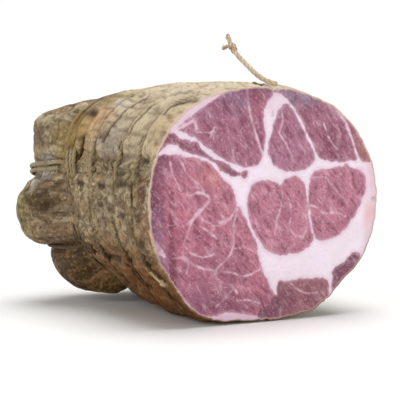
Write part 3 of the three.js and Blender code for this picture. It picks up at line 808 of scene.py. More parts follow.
# Patches of another tone: what they look like, place, reach, colour and strength
TONES = [
    ("ochre", (-69.5, 78, 86), 11, (166, 136, 70), 0.85),
    ("ochre lobe", (-70, 88, 82), 9, (156, 132, 76), 0.8),
    ("tan", (-61.5, 59, 93.5), 9, (200, 164, 122), 0.8),
    ("pinkish crown", (-28, 58, 112), 14, (222, 200, 176), 0.6),
    ("yellow crown", (-44, 61, 107), 7, (186, 170, 110), 0.7),
    ("grey-white", (-50, 56, 103), 5, (196, 186, 172), 0.8),
    # Painted shade in the hollow here, in an olive brown
    ("olive", (-62, 69.5, 99), 4.5, (84, 64, 38), 0.95),
    ("grey-brown lobe", (-71, 92, 91), 14, (126, 110, 84), 0.7),
    ("violet", (-61, 47, 85), 9, (128, 114, 108), 0.75),
    ("greenish tip", (-87, 106, 48), 11, (134, 128, 62), 0.8),
    ("blue-grey", (-80, 99, 69), 7.5, (204, 196, 184), 0.95),
    ("middle lobe", (-79, 90, 51), 12, (98, 76, 52), 0.85),
    # Painted shade in the middle lobe's hollow
    ("dark hollow", (-80, 90.5, 52), 6.5, (70, 52, 32), 0.95),
    ("tan edge", (-85.1, 95.4, 49.4), 3, (176, 136, 100), 0.85),
    ("pink-beige", (-77, 90, 39), 9, (156, 128, 104), 0.85),
    ("brown lobe", (-64, 98, 22), 16, (74, 58, 38), 0.9),
    ("brown, upper rim", (-59.3, 9, 68), 2, (128, 92, 60), 0.7),
    ("red, rim", (-61.5, 6, 64.5), 2.9, (116, 62, 34), 1.0),
    ("dark red, rim", (-62.3, 5.7, 60.8), 3.0, (88, 44, 22), 1.0),
    ("brown, rim", (-62.7, 6.2, 57.2), 2.6, (100, 72, 42), 0.9),
    ("dark brown, rim", (-61.9, 8.1, 52.2), 2.9, (74, 50, 26), 1.0),
    ("peach, rim", (-61.8, 4, 49), 3.5, (172, 130, 96), 0.75),
    ("brown, lower rim", (-62.1, 9.2, 46), 2.9, (92, 68, 38), 0.95),
    ("peach edge", (-60.5, 2.5, 42), 5, (172, 120, 82), 0.75),
    ("dark, lower rim", (-60.8, 11, 39), 3.0, (68, 44, 20), 1.0),
    # Painted shade in the hollow here, with an olive tint
    ("olive hollow", (-63, 28, 65), 6, (110, 94, 60), 0.7),
    ("grey-brown flank", (-65, 40, 56), 12, (142, 124, 98), 0.5),
    ("beige, low flank", (-61, 25, 38), 12, (164, 140, 106), 0.7),
    ("olive, low flank", (-56.1, 12.7, 30.8), 3.5, (112, 88, 42), 0.7),
    ("pale spot, low flank", (-59.8, 22.6, 34.5), 4, (176, 152, 122), 0.7),
    ("pale ridge, low flank", (-55.4, 16.7, 29.8), 3, (166, 138, 100), 0.6),
    ("amber", (-47, 18, 16), 13, (148, 104, 50), 0.95),
    ("amber, low", (-38, 12, 7), 12, (134, 86, 32), 0.95),
    ("orange-brown", (-45.3, 5.5, 15), 4, (158, 104, 56), 0.85),
    ("brown, low", (-52, 48, 20), 16, (122, 88, 50), 0.8),
    ("pale crown", (-10, 24, 112), 46, (218, 202, 174), 0.9),
    ("pale shoulder", (-50, 12, 92), 14, (186, 164, 124), 0.5),
    ("rim, upper", (-52, 3, 86), 8, (200, 168, 132), 0.7),
]


def segment_distances(spots, points, normals=None):
    """How far each spot is from a line through some points; with normals, across the skin only"""
    nearest = np.full(len(spots), 1e9)
    for start, end in zip(points, points[1:]):
        start, end = np.array(start, float), np.array(end, float)
        along = end - start
        share = np.clip((spots - start) @ along / max(along @ along, 1e-9), 0, 1)
        off = spots - start - share[:, None] * along
        if normals is not None:
            off -= np.clip((off * normals).sum(1), -SKIN_DEPTH, SKIN_DEPTH)[:, None] * normals
        nearest = np.minimum(nearest, np.linalg.norm(off, axis=1))
    return nearest


def subdivided(bm, levels):
    """The mesh after a few levels of smooth subdivision"""
    mesh = bpy.data.meshes.new("coarse")
    bm.to_mesh(mesh)
    bm.free()
    coarse = placed("coarse", mesh)
    smooth = coarse.modifiers.new("smooth", "SUBSURF")
    smooth.levels = levels
    smooth.render_levels = levels
    fine = bmesh.new()
    fine.from_object(coarse, bpy.context.evaluated_depsgraph_get())
    bpy.data.objects.remove(coarse)
    bpy.data.meshes.remove(mesh)
    return fine


def skin_place(point):
    """A place on the casing rolled out: round the meat and along it, wrinkles run along it"""
    x, z = point.x + SKIN_LEAN * point.y, point.z - AXIS_HEIGHT
    radius = math.hypot(x, z)
    flat = SKIN_RADIUS / radius
    return Vector((x * flat, z * flat, point.y + SKIN_START - radius))


def crease_line(value, width):
    """1 on the line where a noise crosses zero, falling to 0 on both sides"""
    return max(0.0, 1 - abs(value) / width)


def wrinkles(skin, across, along, shift=(0, 0, 0)):
    """Noise on the rolled-out casing with a grain of so many millimetres across and along it"""
    return noise.noise(Vector((skin.x / across, skin.y / across, skin.z / along)) + Vector(shift))


def casing_relief(point, twine_distance):
    """How far the dried casing stands out at a place, in millimetres, and how creased it is, for the painted
    shade in its folds
    """
    skin = skin_place(point)
    on_lobes = risen(point.y, *LOBES_START)
    fold = crease_line(wrinkles(skin, *FOLD_GRAIN, (3, 7, 1)), FOLD_WIDTH)
    cross = crease_line(noise.noise(point / CROSS_FOLD_GRAIN + Vector((11, 2, 5))), CROSS_FOLD_WIDTH)
    gathered = math.exp(-(twine_distance / GATHERED_REACH) ** 2)
    relief = lumpy(point, LUMPS)
    for height, by_twine, across, along in WRINKLES:
        relief += (height + by_twine * gathered) * wrinkles(skin, across, along)
    relief -= (FOLD_DEPTH + LOBE_FOLD_DEPTH * on_lobes) * fold ** 1.3
    relief -= CROSS_FOLD_DEPTH * cross
    return relief, max(FOLD_DARKNESS * fold, CROSS_FOLD_DARKNESS * cross)


def beside_twine(relief, distance, point):
    """The casing's height near a twine, which it has dried round: only the twine's back shows"""
    across = math.sqrt(max(0.0, distance ** 2 - TWINE_SEAT ** 2))
    on_body = 1 - risen(point.y, *BODY_END)
    on_top = risen(point.z, *TOP_START)
    share = eased(clipped(1 - across / BANK_REACH)) * on_body
    banked = part_way(relief, BANK + TOP_BANK * on_top, share)
    under = risen(across, *TWINE_BACK)
    at_left = risen(point.x, *LEFT_START)
    at_upper_left = risen(point.z, *UPPER_START) * at_left
    at_lower_left = risen(point.z, *LOWER_START) * at_left
    patches = COVERED + COVERED_AT_LEFT * at_left
    patches += COVERED_VARIES * noise.noise(point / COVERED_GRAIN + Vector((4, 9, 2)))
    covered = min(1, max(at_upper_left, at_lower_left, patches)) * on_body
    seat = part_way(distance - TWINE_RADIUS + TWINE_PRESS, distance + GROWN_OVER, covered)
    return part_way(banked, seat, under)


def longest_edge(edge):
    """How long an edge of the coarse casing may stay: longer at the right and below"""
    middle = (edge.verts[0].co + edge.verts[1].co) / 2
    behind = middle.x > BEHIND_RIGHT_OF and middle.z < BEHIND_UNDER
    return LONG_EDGE_BEHIND if behind or middle.z < FLOOR_SIDE_UNDER else LONG_EDGE


def refine_creases(bm):
    """Halves the edges beside the creases, so that these come out narrow"""
    places = np.array([v.co for v in bm.verts])
    normals = np.array([v.normal for v in bm.verts])
    near = np.zeros(len(places), bool)
    for _, _, points in CREASES:
        near |= segment_distances(places, points, normals) < FINE_BESIDE_CREASE
    bm.verts.index_update()
    edges = [e for e in bm.edges if near[e.verts[0].index] and near[e.verts[1].index]]
    bmesh.ops.subdivide_edges(bm, edges=edges, cuts=1, use_grid_fill=True)
    bm.normal_update()


def fine_body():
    """The meat's mesh without its cut face, with small even faces and smaller ones at the creases"""
    bm = node_mesh("cured_meat")
    cut_faces = [f for f in bm.faces if all(v.co.y < 0.05 for v in f.verts)]
    bmesh.ops.delete(bm, geom=cut_faces, context="FACES")
    bmesh.ops.join_triangles(
        bm, faces=bm.faces, angle_face_threshold=math.radians(50), angle_shape_threshold=math.radians(70),
    )
    long_edges = [e for e in bm.edges if e.calc_length() > longest_edge(e)]
    bmesh.ops.subdivide_edges(bm, edges=long_edges, cuts=1, use_grid_fill=True)
    bm = subdivided(bm, 2)
    bm.normal_update()
    refine_creases(bm)
    return bm


def casing_marks(bm):
    """At each vertex: how creased and how pitted it is, for the painted shade there, and how far it's sunk
    and swollen
    """
    places = np.array([v.co for v in bm.verts])
    normals = np.array([v.normal for v in bm.verts])
    creased, sunk, pitted, swollen = np.zeros((4, len(places)))
    for width, depth, points in CREASES:
        share = CREASE_EDGE - segment_distances(places, points, normals) / width
        darkness = min(1, part_way(SHALLOW_DARKNESS, 1, depth))
        creased = np.maximum(creased, np.clip(CREASE_CONTRAST * share, 0, 1) * darkness)
        sunk += depth * np.clip(share, 0, 1)
    for place, radius in PITS:
        ends = [np.array(place) + (0, side * PIT_LENGTH * radius, 0) for side in (-1, 1)]
        away = segment_distances(places, ends, normals)
        pitted = np.maximum(pitted, np.clip(PIT_EDGE - away / radius, 0, 1))
    sunk += PIT_DEPTH * pitted
    for place, reaches, height in SWELLS:
        away = np.linalg.norm((places - np.array(place)) / np.array(reaches), axis=1)
        swollen += height * eased(np.clip(1 - away, 0, 1))
    return [[float(number) for number in field] for field in (creased, pitted, sunk, swollen)]


TONE_COLOURS = [np.array(linear(*colour)) for _, _, _, colour, _ in TONES]


def tone_at(point, normal):
    """How far a place has another tone, and the colour of it"""
    total, colour = 0.0, np.zeros(4)
    for (_, place, reach, _, strength), tone in zip(TONES, TONE_COLOURS):
        off = point - Vector(place)
        off -= normal * min(SKIN_DEPTH, max(-SKIN_DEPTH, off.dot(normal)))
        away = off.length + TONE_UNEVEN * reach * noise.noise(point / (3 + reach / 3))
        share = strength * clipped(TONE_EDGE - away / reach)
        total += share
        colour += share * tone
    return min(1, total), colour / total if total > 0 else CASING_BASE


def rim_turned_in(bm):
    """Gives the casing its edge round the opening and closes it behind; returns the edge's places"""
    rim = [e for e in bm.edges if e.is_boundary]
    centre = Vector((0, 0, AXIS_HEIGHT))
    outline = []
    for width, depth in ((CASING_EDGE, 0), (0, RECESS)):
        grown = bmesh.ops.extrude_edge_only(bm, edges=rim)["geom"]
        rim = [g for g in grown if isinstance(g, bmesh.types.BMEdge)]
        for vert in {v for e in rim for v in e.verts}:
            inwards = (centre - vert.co).normalized()
            uneven = 1 + EDGE_VARIES * noise.noise(vert.co / RIM_GRAIN)
            vert.co += inwards * width * uneven
            vert.co.y += depth
        if depth == 0:
            outline = [v.co.copy() for v in {v for e in rim for v in e.verts}]
    ends_closed(bm)
    return outline


def add_casing():
    """The casing with its wrinkles; returns the outline of its opening at the cut"""
    bm = fine_body()
    twines = kdtree.KDTree(sum(len(line) for line in twine_lines))
    for k, point in enumerate(p for line in twine_lines for p in line):
        twines.insert(point, k)
    twines.balance()

    names = ("creased", "seated", "pitted", "toned", "rim")
    layers = {name: bm.verts.layers.float.new(name) for name in names}
    skin_layer = bm.verts.layers.float_vector.new("skin")
    tone_layer = bm.verts.layers.float_color.new("tone")
    moves = []
    for vert, creased, pitted, sunk, swollen in zip(bm.verts, *casing_marks(bm)):
        point = vert.co.copy()
        distance = twines.find(point)[2]
        relief, crease = casing_relief(point, distance)
        clear = clipped(distance - CREASE_CLEAR)
        relief = beside_twine(relief, distance, point) + swollen - sunk * clear
        moves.append(vert.normal * relief)
        vert[layers["creased"]] = max(crease, creased)
        vert[layers["seated"]] = math.exp(-((distance / SEATED_REACH) ** 2))
        vert[layers["pitted"]] = pitted
        rim_reach = max(LEAST_RIM, PALE_RIM + RIM_VARIES * noise.noise(point / RIM_GRAIN))
        vert[layers["rim"]] = max(0, 1 - point.y / rim_reach)
        vert[skin_layer] = skin_place(point) * MM
        vert[layers["toned"]], vert[tone_layer] = tone_at(point, vert.normal)
    for vert, move in zip(bm.verts, moves):
        on_cut = vert.is_boundary
        vert.co += move
        vert.co.y = 0 if on_cut else max(vert.co.y, 0)
        vert.co.z = max(vert.co.z, LOWEST_CASING)
    outline = rim_turned_in(bm)
    piece("casing", bm, casing_finish(), ["cured_meat"])
    return outline


def casing_finish():
    """Dried natural casing: beige and brown, mottled, with painted shade in its creases, folds and hollows,
    and darker underneath, partly its own browner stain and partly painted shade
    """
    finish = Finish("casing")
    place = finish.place
    up = finish.along_axis("Z")
    back = finish.along_axis("Y")
    skin = finish.attribute("skin", "Vector")
    tone = finish.attribute("tone", "Color")
    toned = finish.attribute("toned")
    clouds = finish.noise(place, 17, detail=4, roughness=0.55)
    long_skin = finish.stretched(skin, (1, 1, 0.6))
    patterns = {
        "streaks": finish.noise(finish.stretched(skin, (1, 1, 0.3)), 2.6, detail=5, roughness=0.62),
        "spots": finish.noise(place, 4.4, detail=3, roughness=0.55, distortion=0.3),
        "pale": finish.noise(long_skin, 5.2, detail=4, roughness=0.6, distortion=0.4),
        "flecks": finish.noise(place, 1.9, detail=5, roughness=0.65),
    }
    flecks = patterns["flecks"]
    height = finish.math("ADD", up, finish.times(finish.math("SUBTRACT", clouds, 0.5), CLOUD_SHIFT))
    lively = finish.ramp(height, *CROWN_TO_FLANK, 0.22, 1.0)
    lively = finish.larger(lively, finish.ramp(back, *BODY_TO_LOBES))

    colour = finish.tinted(CASING_BASE, (clouds, 0.36, 0.64, 1.0, CASING_BROWN))
    colour = finish.mix(finish.times(toned, finish.ramp(flecks, 0.2, 0.6, 0.5, 1.0)), colour, tone)
    for name, none, full, strength, pattern_colour in CASING_PATTERNS:
        share = finish.times(finish.ramp(patterns[name], none, full, 0.0, strength), lively)
        colour = finish.mix(share, colour, pattern_colour)
    colour = finish.mix(finish.times(toned, 0.35), colour, tone)
    at_front = finish.ramp(back, *AMBER_BEFORE, 1.0, 0.1)
    amber = finish.times(finish.ramp(height, *AMBER_BELOW, 0.0, 0.5), at_front)
    colour = finish.mix(amber, colour, CASING_AMBER)
    # Darker below, partly the casing's own browner stain and partly painted shade on the underside
    colour = finish.mix(finish.ramp(height, *STAIN_AND_SHADE_BELOW), colour, CASING_STAIN_AND_SHADE, "MULTIPLY")
    low = finish.ramp(height, *PATCHY_BELOW)
    pale_patches = finish.times(low, finish.ramp(patterns["pale"], 0.49, 0.62, 0.0, 0.5))
    colour = finish.mix(pale_patches, colour, CASING_LOW_PALE)
    dark_flecks = finish.times(low, finish.ramp(flecks, 0.50, 0.34, 0.0, 0.65))
    colour = finish.mix(dark_flecks, colour, CASING_DARK)
    # Painted shade in the creases, folds and hollows; beside the twine the darkening is partly dirt and
    # partly painted shade
    dark = 0.0
    for mark, strength in (("creased", 0.96), ("pitted", 0.85), ("seated", 0.28)):
        dark = finish.larger(dark, finish.times(finish.attribute(mark), strength))
    colour = finish.mix(dark, colour, CASING_DARK)
    pale_rim = finish.times(finish.attribute("rim"), finish.ramp(up, *RIM_PALES_ABOVE, 0.1, 0.8))
    colour = finish.mix(pale_rim, colour, CASING_RIM)

    crumple = finish.noise(finish.stretched(skin, (1, 1, 0.5)), 1.6, detail=4, roughness=0.6)
    grain = finish.noise(place, 0.6, detail=2)
    normal = finish.bump(patterns["spots"], -1.2, 0.7)
    normal = finish.bump(crumple, 0.7, 0.8, normal)
    normal = finish.bump(grain, 0.15, 0.5, normal)
    roughness = finish.ramp(patterns["streaks"], 0.3, 0.7, 0.50, 0.68)
    return finish.shade(base_color=colour, roughness=roughness, normal=normal, specular_ior_level=0.22)


casing_outline = add_casing()


# The cut face

CUT_GRID = 250
# The fat stands out by this much, and both are uneven: heights and grains in millimetres
RELIEF = 0.12
CUT_LUMPS = [(0.10, 4), (0.06, 1.3)]
# The relief fades out within this far from the rim, and the slab ends just before the casing's floor
FLAT_RIM = 1.2
SLAB_DEPTH = RECESS - 0.05
LEAN_DARK = linear(140, 76, 100)
LEAN_DEEP = linear(110, 46, 70)
MARBLING = linear(228, 184, 200)
VEIN = linear(230, 196, 210)
FAT = linear(242, 228, 240)
CREAMY_FAT = linear(236, 220, 228)
PINK_FAT = linear(220, 182, 202)
SKIN_EDGE = linear(206, 172, 162)
# The muscles on the cut face: tone and outline, as x and z
MUSCLES = [
    ("neck, upper left", (170, 110, 132), [
        (-48, 89), (-41, 95), (-32, 101), (-24, 106), (-19, 110), (-16, 113), (-12, 112), (-12, 103),
        (-10, 96), (-8, 89), (-6, 83), (-4, 79), (-5, 74), (-11, 72), (-16, 73), (-21, 75), (-26, 77),
        (-30, 80), (-35, 83), (-39, 86), (-44, 88),
    ]),
    ("sliver at the top", (164, 98, 118), [
        (-12, 112), (0, 112), (2, 108), (0, 104), (-3, 100), (-4, 96), (-3, 91), (-2, 86), (-3, 81),
        (-4, 79), (-6, 83), (-8, 89), (-10, 96), (-12, 103),
    ]),
    ("wedge beside the seam", (174, 116, 140), [
        (5, 98), (8, 102), (11, 101), (13, 98), (16, 93), (19, 88), (22, 83), (25, 78), (25, 75),
        (21, 72), (15, 70), (9, 70), (4, 72), (0, 76), (-1, 82), (1, 88), (3, 94),
    ]),
    ("upper right", (166, 108, 128), [
        (0, 112), (16, 112), (26, 109), (33, 105), (38, 98), (42, 93), (45, 87), (48, 80), (50, 75),
        (43, 75), (41, 74), (35, 75), (29, 75), (26, 78), (23, 84), (20, 90), (17, 95), (13, 100),
        (9, 104), (5, 107), (1, 107),
    ]),
    ("right rim", (168, 106, 108), [
        (36, 103), (42, 99), (47, 94), (51, 87), (55, 80), (59, 75), (53, 74), (50, 77), (48, 83),
        (44, 91), (39, 98),
    ]),
    ("right", (194, 126, 147), [
        (22, 64), (23, 69), (28, 71), (34, 71), (40, 72), (43, 74), (46, 71), (51, 71), (54, 68),
        (55, 63), (54, 59), (52, 54), (49, 50), (46, 46), (43, 42), (39, 39), (33, 37), (26, 37),
        (24, 42), (23, 48), (22, 54), (21, 59),
    ]),
    ("centre", (194, 126, 145), [
        (-11, 60), (-9, 65), (-2, 66), (4, 65), (6, 63), (8, 66), (13, 68), (18, 66), (20, 62),
        (21, 55), (22, 48), (23, 43), (25, 38), (21, 34), (16, 32), (10, 31), (4, 31), (-2, 34),
        (-6, 39), (-9, 43), (-11, 49), (-12, 55),
    ]),
    ("left and below", (192, 120, 138), [
        (-61, 74), (-56, 78), (-50, 78), (-43, 77), (-36, 76), (-31, 74), (-28, 71), (-25, 67),
        (-21, 64), (-19, 61), (-18, 57), (-18, 54), (-16, 54), (-13, 49), (-11, 45), (-9, 41),
        (-7, 36), (-6, 30), (-4, 24), (-1, 19), (1, 15), (3, 12), (2, 3), (-5, 3), (-15, 5),
        (-22, 6), (-29, 5), (-35, 4), (-42, 11), (-47, 17), (-54, 24), (-57, 29.5), (-60, 35),
        (-62.5, 42), (-62.5, 46), (-62, 58), (-62, 68),
    ]),
    ("below", (154, 102, 108), [
        (5, 19), (10, 18), (17, 19), (23, 19), (32, 18.5), (33.5, 13), (33.5, 6), (28, 3), (23, 0),
        (12, 0), (5, 1), (4, 9), (4, 14),
    ]),
    ("closed seam, low", (128, 80, 98), [(-7, 12), (0, 11), (4, 13), (8, 9), (8, 2), (0, 1), (-8, 3)]),
    ("dark corner", (118, 74, 92), [
        (36, 23), (40, 24.5), (44, 27), (48, 31), (52, 29), (51, 24), (47, 19), (42, 15), (39, 10),
        (36, 9), (35.3, 13), (35.5, 18),
    ]),
    ("thin strip", (142, 84, 102), [
        (-59, 82), (-54, 88), (-50, 88), (-46, 85), (-42, 84), (-38, 84), (-36, 81), (-33, 78),
        (-28, 75), (-23, 74), (-19, 71), (-15, 69), (-19, 68), (-25, 70), (-28, 74), (-32, 76),
        (-37, 78), (-43, 79), (-49, 83), (-54, 82), (-58, 78), (-61, 74),
    ]),
    ("end of the strip", (150, 92, 106), [(-15, 69), (-13, 71), (-11, 70), (-12, 68), (-14, 67)]),
]
# Fat that runs through the muscles: half width in millimetres and the places that it runs through
VEINS = [
    (0.7, [(-51, 88), (-46, 90), (-42, 92), (-39, 93), (-38, 90)]),
    (1.5, [(-62, 42), (-58.5, 38.5), (-56, 35.5)]),
    (0.8, [(-56, 35.5), (-54, 33)]),
    (0.25, [(-38, 88), (-34, 88), (-30, 88), (-29, 90), (-31, 86)]),
    (0.2, [(-51, 75), (-50, 70), (-48, 66), (-46, 62)]),
    (0.3, [(-46, 75), (-43, 70), (-40, 67), (-36, 64), (-34, 60)]),
    (0.5, [(-41, 60), (-37, 61), (-34, 60), (-31, 58), (-34, 55), (-36, 52)]),
    (1.0, [(-36, 53), (-38, 51), (-41, 48)]),
    (0.35, [(-41, 48), (-42, 44), (-44, 40), (-45, 36), (-44, 32)]),
    (1.0, [(-45, 32), (-43, 31)]),
    (0.3, [(-43, 31), (-42, 29), (-43, 25)]),
    (0.3, [(-36, 51), (-34, 48), (-31, 47)]),
    (0.3, [(-41, 48), (-46, 46), (-48, 47), (-50, 50)]),
    (0.3, [(-36, 46), (-33, 44), (-30, 42), (-28, 40)]),
    (0.9, [(-26, 47), (-23, 48), (-21, 49)]),
    (0.4, [(-30, 46), (-26, 46), (-22, 48), (-20, 50), (-18, 53)]),
    (0.25, [(-26, 54), (-25, 50), (-22, 48)]),
    (0.4, [(-50, 32), (-46, 32), (-43, 31), (-40, 29), (-36, 27), (-32, 26), (-28, 25)]),
    (0.35, [(-41, 34), (-36, 32), (-33, 32), (-29, 33)]),
    (0.45, [(-17, 53), (-19, 46), (-19, 40), (-20, 34), (-23, 30), (-27, 27), (-29, 24)]),
    (0.8, [(-29, 25), (-28, 24)]),
    (0.25, [(-29, 24), (-25, 20), (-20, 18), (-17, 14)]),
    (0.6, [(-20, 18), (-19, 17)]),
    (0.25, [(-19, 35), (-15, 35)]),
    (0.25, [(-14, 36), (-10, 34), (-7, 33)]),
    (0.25, [(-26, 25), (-20, 24), (-14, 22), (-9, 23), (-5, 25)]),
    (0.3, [(-19, 17), (-23, 13), (-28, 9)]),
    (0.2, [(-17, 11), (-12, 11), (-5, 9)]),
    (0.2, [(-22, 86), (-20, 81), (-19, 76)]),
    (0.4, [(6, 100), (7, 94), (5, 88)]),
    (0.2, [(5, 88), (8, 84), (11, 79), (13, 75)]),
    (0.3, [(22, 54), (26, 53), (30, 50), (37, 50), (43, 48)]),
    (0.2, [(23, 67), (27, 67), (31, 67), (35, 63), (39, 59), (42, 57)]),
    (0.25, [(6, 65), (7, 59), (6, 53), (4, 47), (3, 41)]),
    (0.2, [(10, 58), (12, 51), (11, 45), (14, 40), (19, 39)]),
    (0.2, [(21, 58), (20, 50), (21, 44), (18, 38)]),
    (0.3, [(12, 17), (16, 14), (21, 12), (27, 12)]),
    (0.25, [(30, 93), (33, 86), (38, 80)]),
    (0.35, [(-11, 98), (-9, 92), (-7, 86), (-5, 81), (-4, 77)]),
    (0.3, [(21, 62), (21, 56), (22, 49), (23, 43), (25, 38)]),
    (0.45, [(37, 101), (41, 96), (45, 89), (48, 81), (51, 75)]),
]
# Patches of another tone on the cut face: place as x and z, reach across and up, colour, strength
CUT_TONES = [
    ("dark rim above", (-61, 62), (3.4, 13), (80, 38, 58), 1.0),
    ("dark rim left", (-58, 79), (5, 8), (84, 52, 64), 1.0),
    ("lilac rim", (-56.5, 47), (2.2, 8), (142, 106, 132), 0.9),
    ("dark rim low", (-60.5, 42), (1.8, 8), (92, 50, 76), 0.95),
    ("lilac rim below", (-54.5, 31), (3, 7), (146, 106, 134), 0.9),
    ("dark rim below", (-50, 20), (3, 6), (118, 72, 100), 0.8),
    ("dark band", (-56, 60), (2.6, 12), (112, 52, 76), 0.7),
    ("red band", (-50.5, 45), (1.3, 16), (124, 34, 60), 0.9),
    ("red band, low", (-49.5, 28), (1.6, 8), (112, 32, 54), 0.9),
    ("bright beside the band", (-46, 42), (2.5, 12), (190, 96, 122), 0.6),
    ("bright, middle", (-36, 42), (8, 8), (190, 108, 130), 0.6),
    ("bright, right", (-24, 58), (6, 7), (200, 128, 144), 0.6),
    ("salmon", (-31, 68), (6, 5), (206, 134, 138), 0.7),
    ("dark, top left", (-50, 73), (7, 4), (146, 88, 112), 0.7),
    ("dark, lower middle", (-26, 24), (13, 9), (158, 98, 116), 0.6),
    ("lilac, low left", (-36, 11), (11, 6), (146, 92, 118), 0.8),
    ("dark, low", (-18, 9), (14, 4), (138, 82, 102), 0.8),
    ("grey lilac, top", (18, 106), (13, 5), (148, 128, 152), 0.95),
    ("dark, top", (-2, 109), (8, 3), (120, 80, 102), 0.8),
    ("grey lilac, upper left", (-19, 104), (8, 6), (130, 100, 128), 0.8),
    ("lilac, upper left", (-34, 97), (6, 3), (150, 108, 132), 0.6),
    ("dark, upper right", (38, 86), (8, 8), (140, 78, 100), 0.7),
    ("pink and white, right rim", (40, 100), (5, 3), (200, 156, 164), 0.7),
    ("tan, right rim", (55, 82), (3, 6), (164, 112, 100), 0.6),
    ("brown, below", (8, 9), (5, 6), (118, 72, 88), 0.6),
]
# Patches of another tone on the fat, in the same way
FAT_TONES = [
    ("salmon, right", (58, 46), (4, 10), (228, 172, 168), 0.75),
    ("rosy, right rim", (56, 66), (4, 7), (232, 184, 198), 0.8),
    ("lilac wedge, left rim", (-56, 36), (4, 6), (222, 190, 224), 0.8),
    ("pink, lower left rim", (-46, 16), (8, 10), (228, 192, 210), 0.7),
    ("dark spot", (59.5, 56), (1.2, 1.2), (84, 62, 56), 1.0),
    ("dark spot in the seam", (1.5, 97), (0.7, 1.4), (110, 78, 92), 0.9),
    ("lilac, upper rim", (-40, 97), (16, 5), (222, 196, 212), 0.8),
    ("lilac, seam top", (2, 102), (5, 5), (224, 198, 212), 0.8),
    ("lilac, lower rim", (-20, 3), (20, 2.5), (216, 178, 198), 0.7),
]


def rounded_outline(points):
    """A closed outline with its corners cut once"""
    corners = []
    for start, end in zip(points, points[1:] + points[:1]):
        start, end = Vector(start), Vector(end)
        corners += [part_way(start, end, 0.25), part_way(start, end, 0.75)]
    return [tuple(c) for c in corners]


def inside(spots, outline):
    """True for the spots that an outline goes round"""
    crossings = np.zeros(len(spots), int)
    for (x1, z1), (x2, z2) in zip(outline, outline[1:] + outline[:1]):
        if z1 == z2:
            continue
        spans = (spots[:, 1] > min(z1, z2)) & (spots[:, 1] <= max(z1, z2))
        crossing_x = x1 + (spots[:, 1] - z1) * (x2 - x1) / (z2 - z1)
        crossings += spans & (crossing_x > spots[:, 0])
    return crossings % 2 == 1


def cut_fields(spots):
    """For spots on the cut: millimetres into the lean and out of a vein, the lean's and fat's colours"""
    into_lean = np.full(len(spots), -9.0)
    colour = np.zeros((len(spots), 4))
    for _, tone, points in MUSCLES:
        outline = rounded_outline(points)
        edge = segment_distances(spots, outline + outline[:1])
        depth = np.where(inside(spots, outline), edge, -edge)
        nearer = depth > into_lean
        into_lean[nearer] = depth[nearer]
        colour[nearer] = linear(*tone)
    off_vein = np.full(len(spots), 9.0)
    for half_width, points in VEINS:
        line = [tuple(p)[:2] for p in smooth_line([(x, z, 0) for x, z in points], step=1.5)]
        off_vein = np.minimum(off_vein, segment_distances(spots, line) - half_width)
    fat_colour = np.tile(np.array(FAT), (len(spots), 1))
    for patches, painted in ((CUT_TONES, colour), (FAT_TONES, fat_colour)):
        for _, (x, z), (across, up), tone, strength in patches:
            away = np.hypot((spots[:, 0] - x) / across, (spots[:, 1] - z) / up)
            share = strength * np.clip(1.6 - away, 0, 1)[:, None]
            painted += (np.array(linear(*tone)) - painted) * share
    return into_lean, off_vein, colour, fat_colour


def add_cut_face(outline):
    """A slab that fills the casing's opening, finished as the cut meat"""
    off_axis = [(p.x, p.z - AXIS_HEIGHT) for p in outline]
    turned = sorted((math.atan2(z, x), math.hypot(x, z)) for x, z in off_axis)
    angles, reaches = np.array(turned).T
    bm = bmesh.new()
    bmesh.ops.create_grid(bm, x_segments=CUT_GRID, y_segments=CUT_GRID, size=1)
    u, v = np.array([vert.co[:2] for vert in bm.verts]).T
    disc_u, disc_v = u * np.sqrt(1 - v ** 2 / 2), v * np.sqrt(1 - u ** 2 / 2)
    turn = np.arctan2(disc_v, disc_u)
    rim_reach = np.interp(turn, angles, reaches, period=2 * math.pi)
    reach = rim_reach * np.hypot(disc_u, disc_v)
    spots = np.stack([reach * np.cos(turn), AXIS_HEIGHT + reach * np.sin(turn)], axis=1)
    into_lean, off_vein, lean_colours, fat_colours = cut_fields(spots)
    from_rim = rim_reach - reach
    layers = {name: bm.verts.layers.float.new(name) for name in ("into_lean", "off_vein", "from_rim")}
    lean_layer = bm.verts.layers.float_color.new("lean_colour")
    fat_layer = bm.verts.layers.float_color.new("fat_colour")
    for k, vert in enumerate(bm.verts):
        x, z = (float(c) for c in spots[k])
        place = Vector((x, 0, z))
        fat = clipped(0.5 - float(min(into_lean[k], off_vein[k])))
        edge = min(1, float(from_rim[k]) / FLAT_RIM)
        out = RELIEF * (fat - 0.5) + lumpy(place, CUT_LUMPS)
        vert.co = Vector((x, -out * edge, z))
        vert[layers["into_lean"]] = float(into_lean[k])
        vert[layers["off_vein"]] = float(off_vein[k])
        vert[layers["from_rim"]] = float(from_rim[k])
        vert[lean_layer] = lean_colours[k]
        vert[fat_layer] = fat_colours[k]
    rim = [e for e in bm.edges if e.is_boundary]
    grown = bmesh.ops.extrude_edge_only(bm, edges=rim)["geom"]
    rim = [g for g in grown if isinstance(g, bmesh.types.BMEdge)]
    for vert in {v for e in rim for v in e.verts}:
        vert.co.y = SLAB_DEPTH
    piece("cut_meat_face", ends_closed(bm), cut_finish())


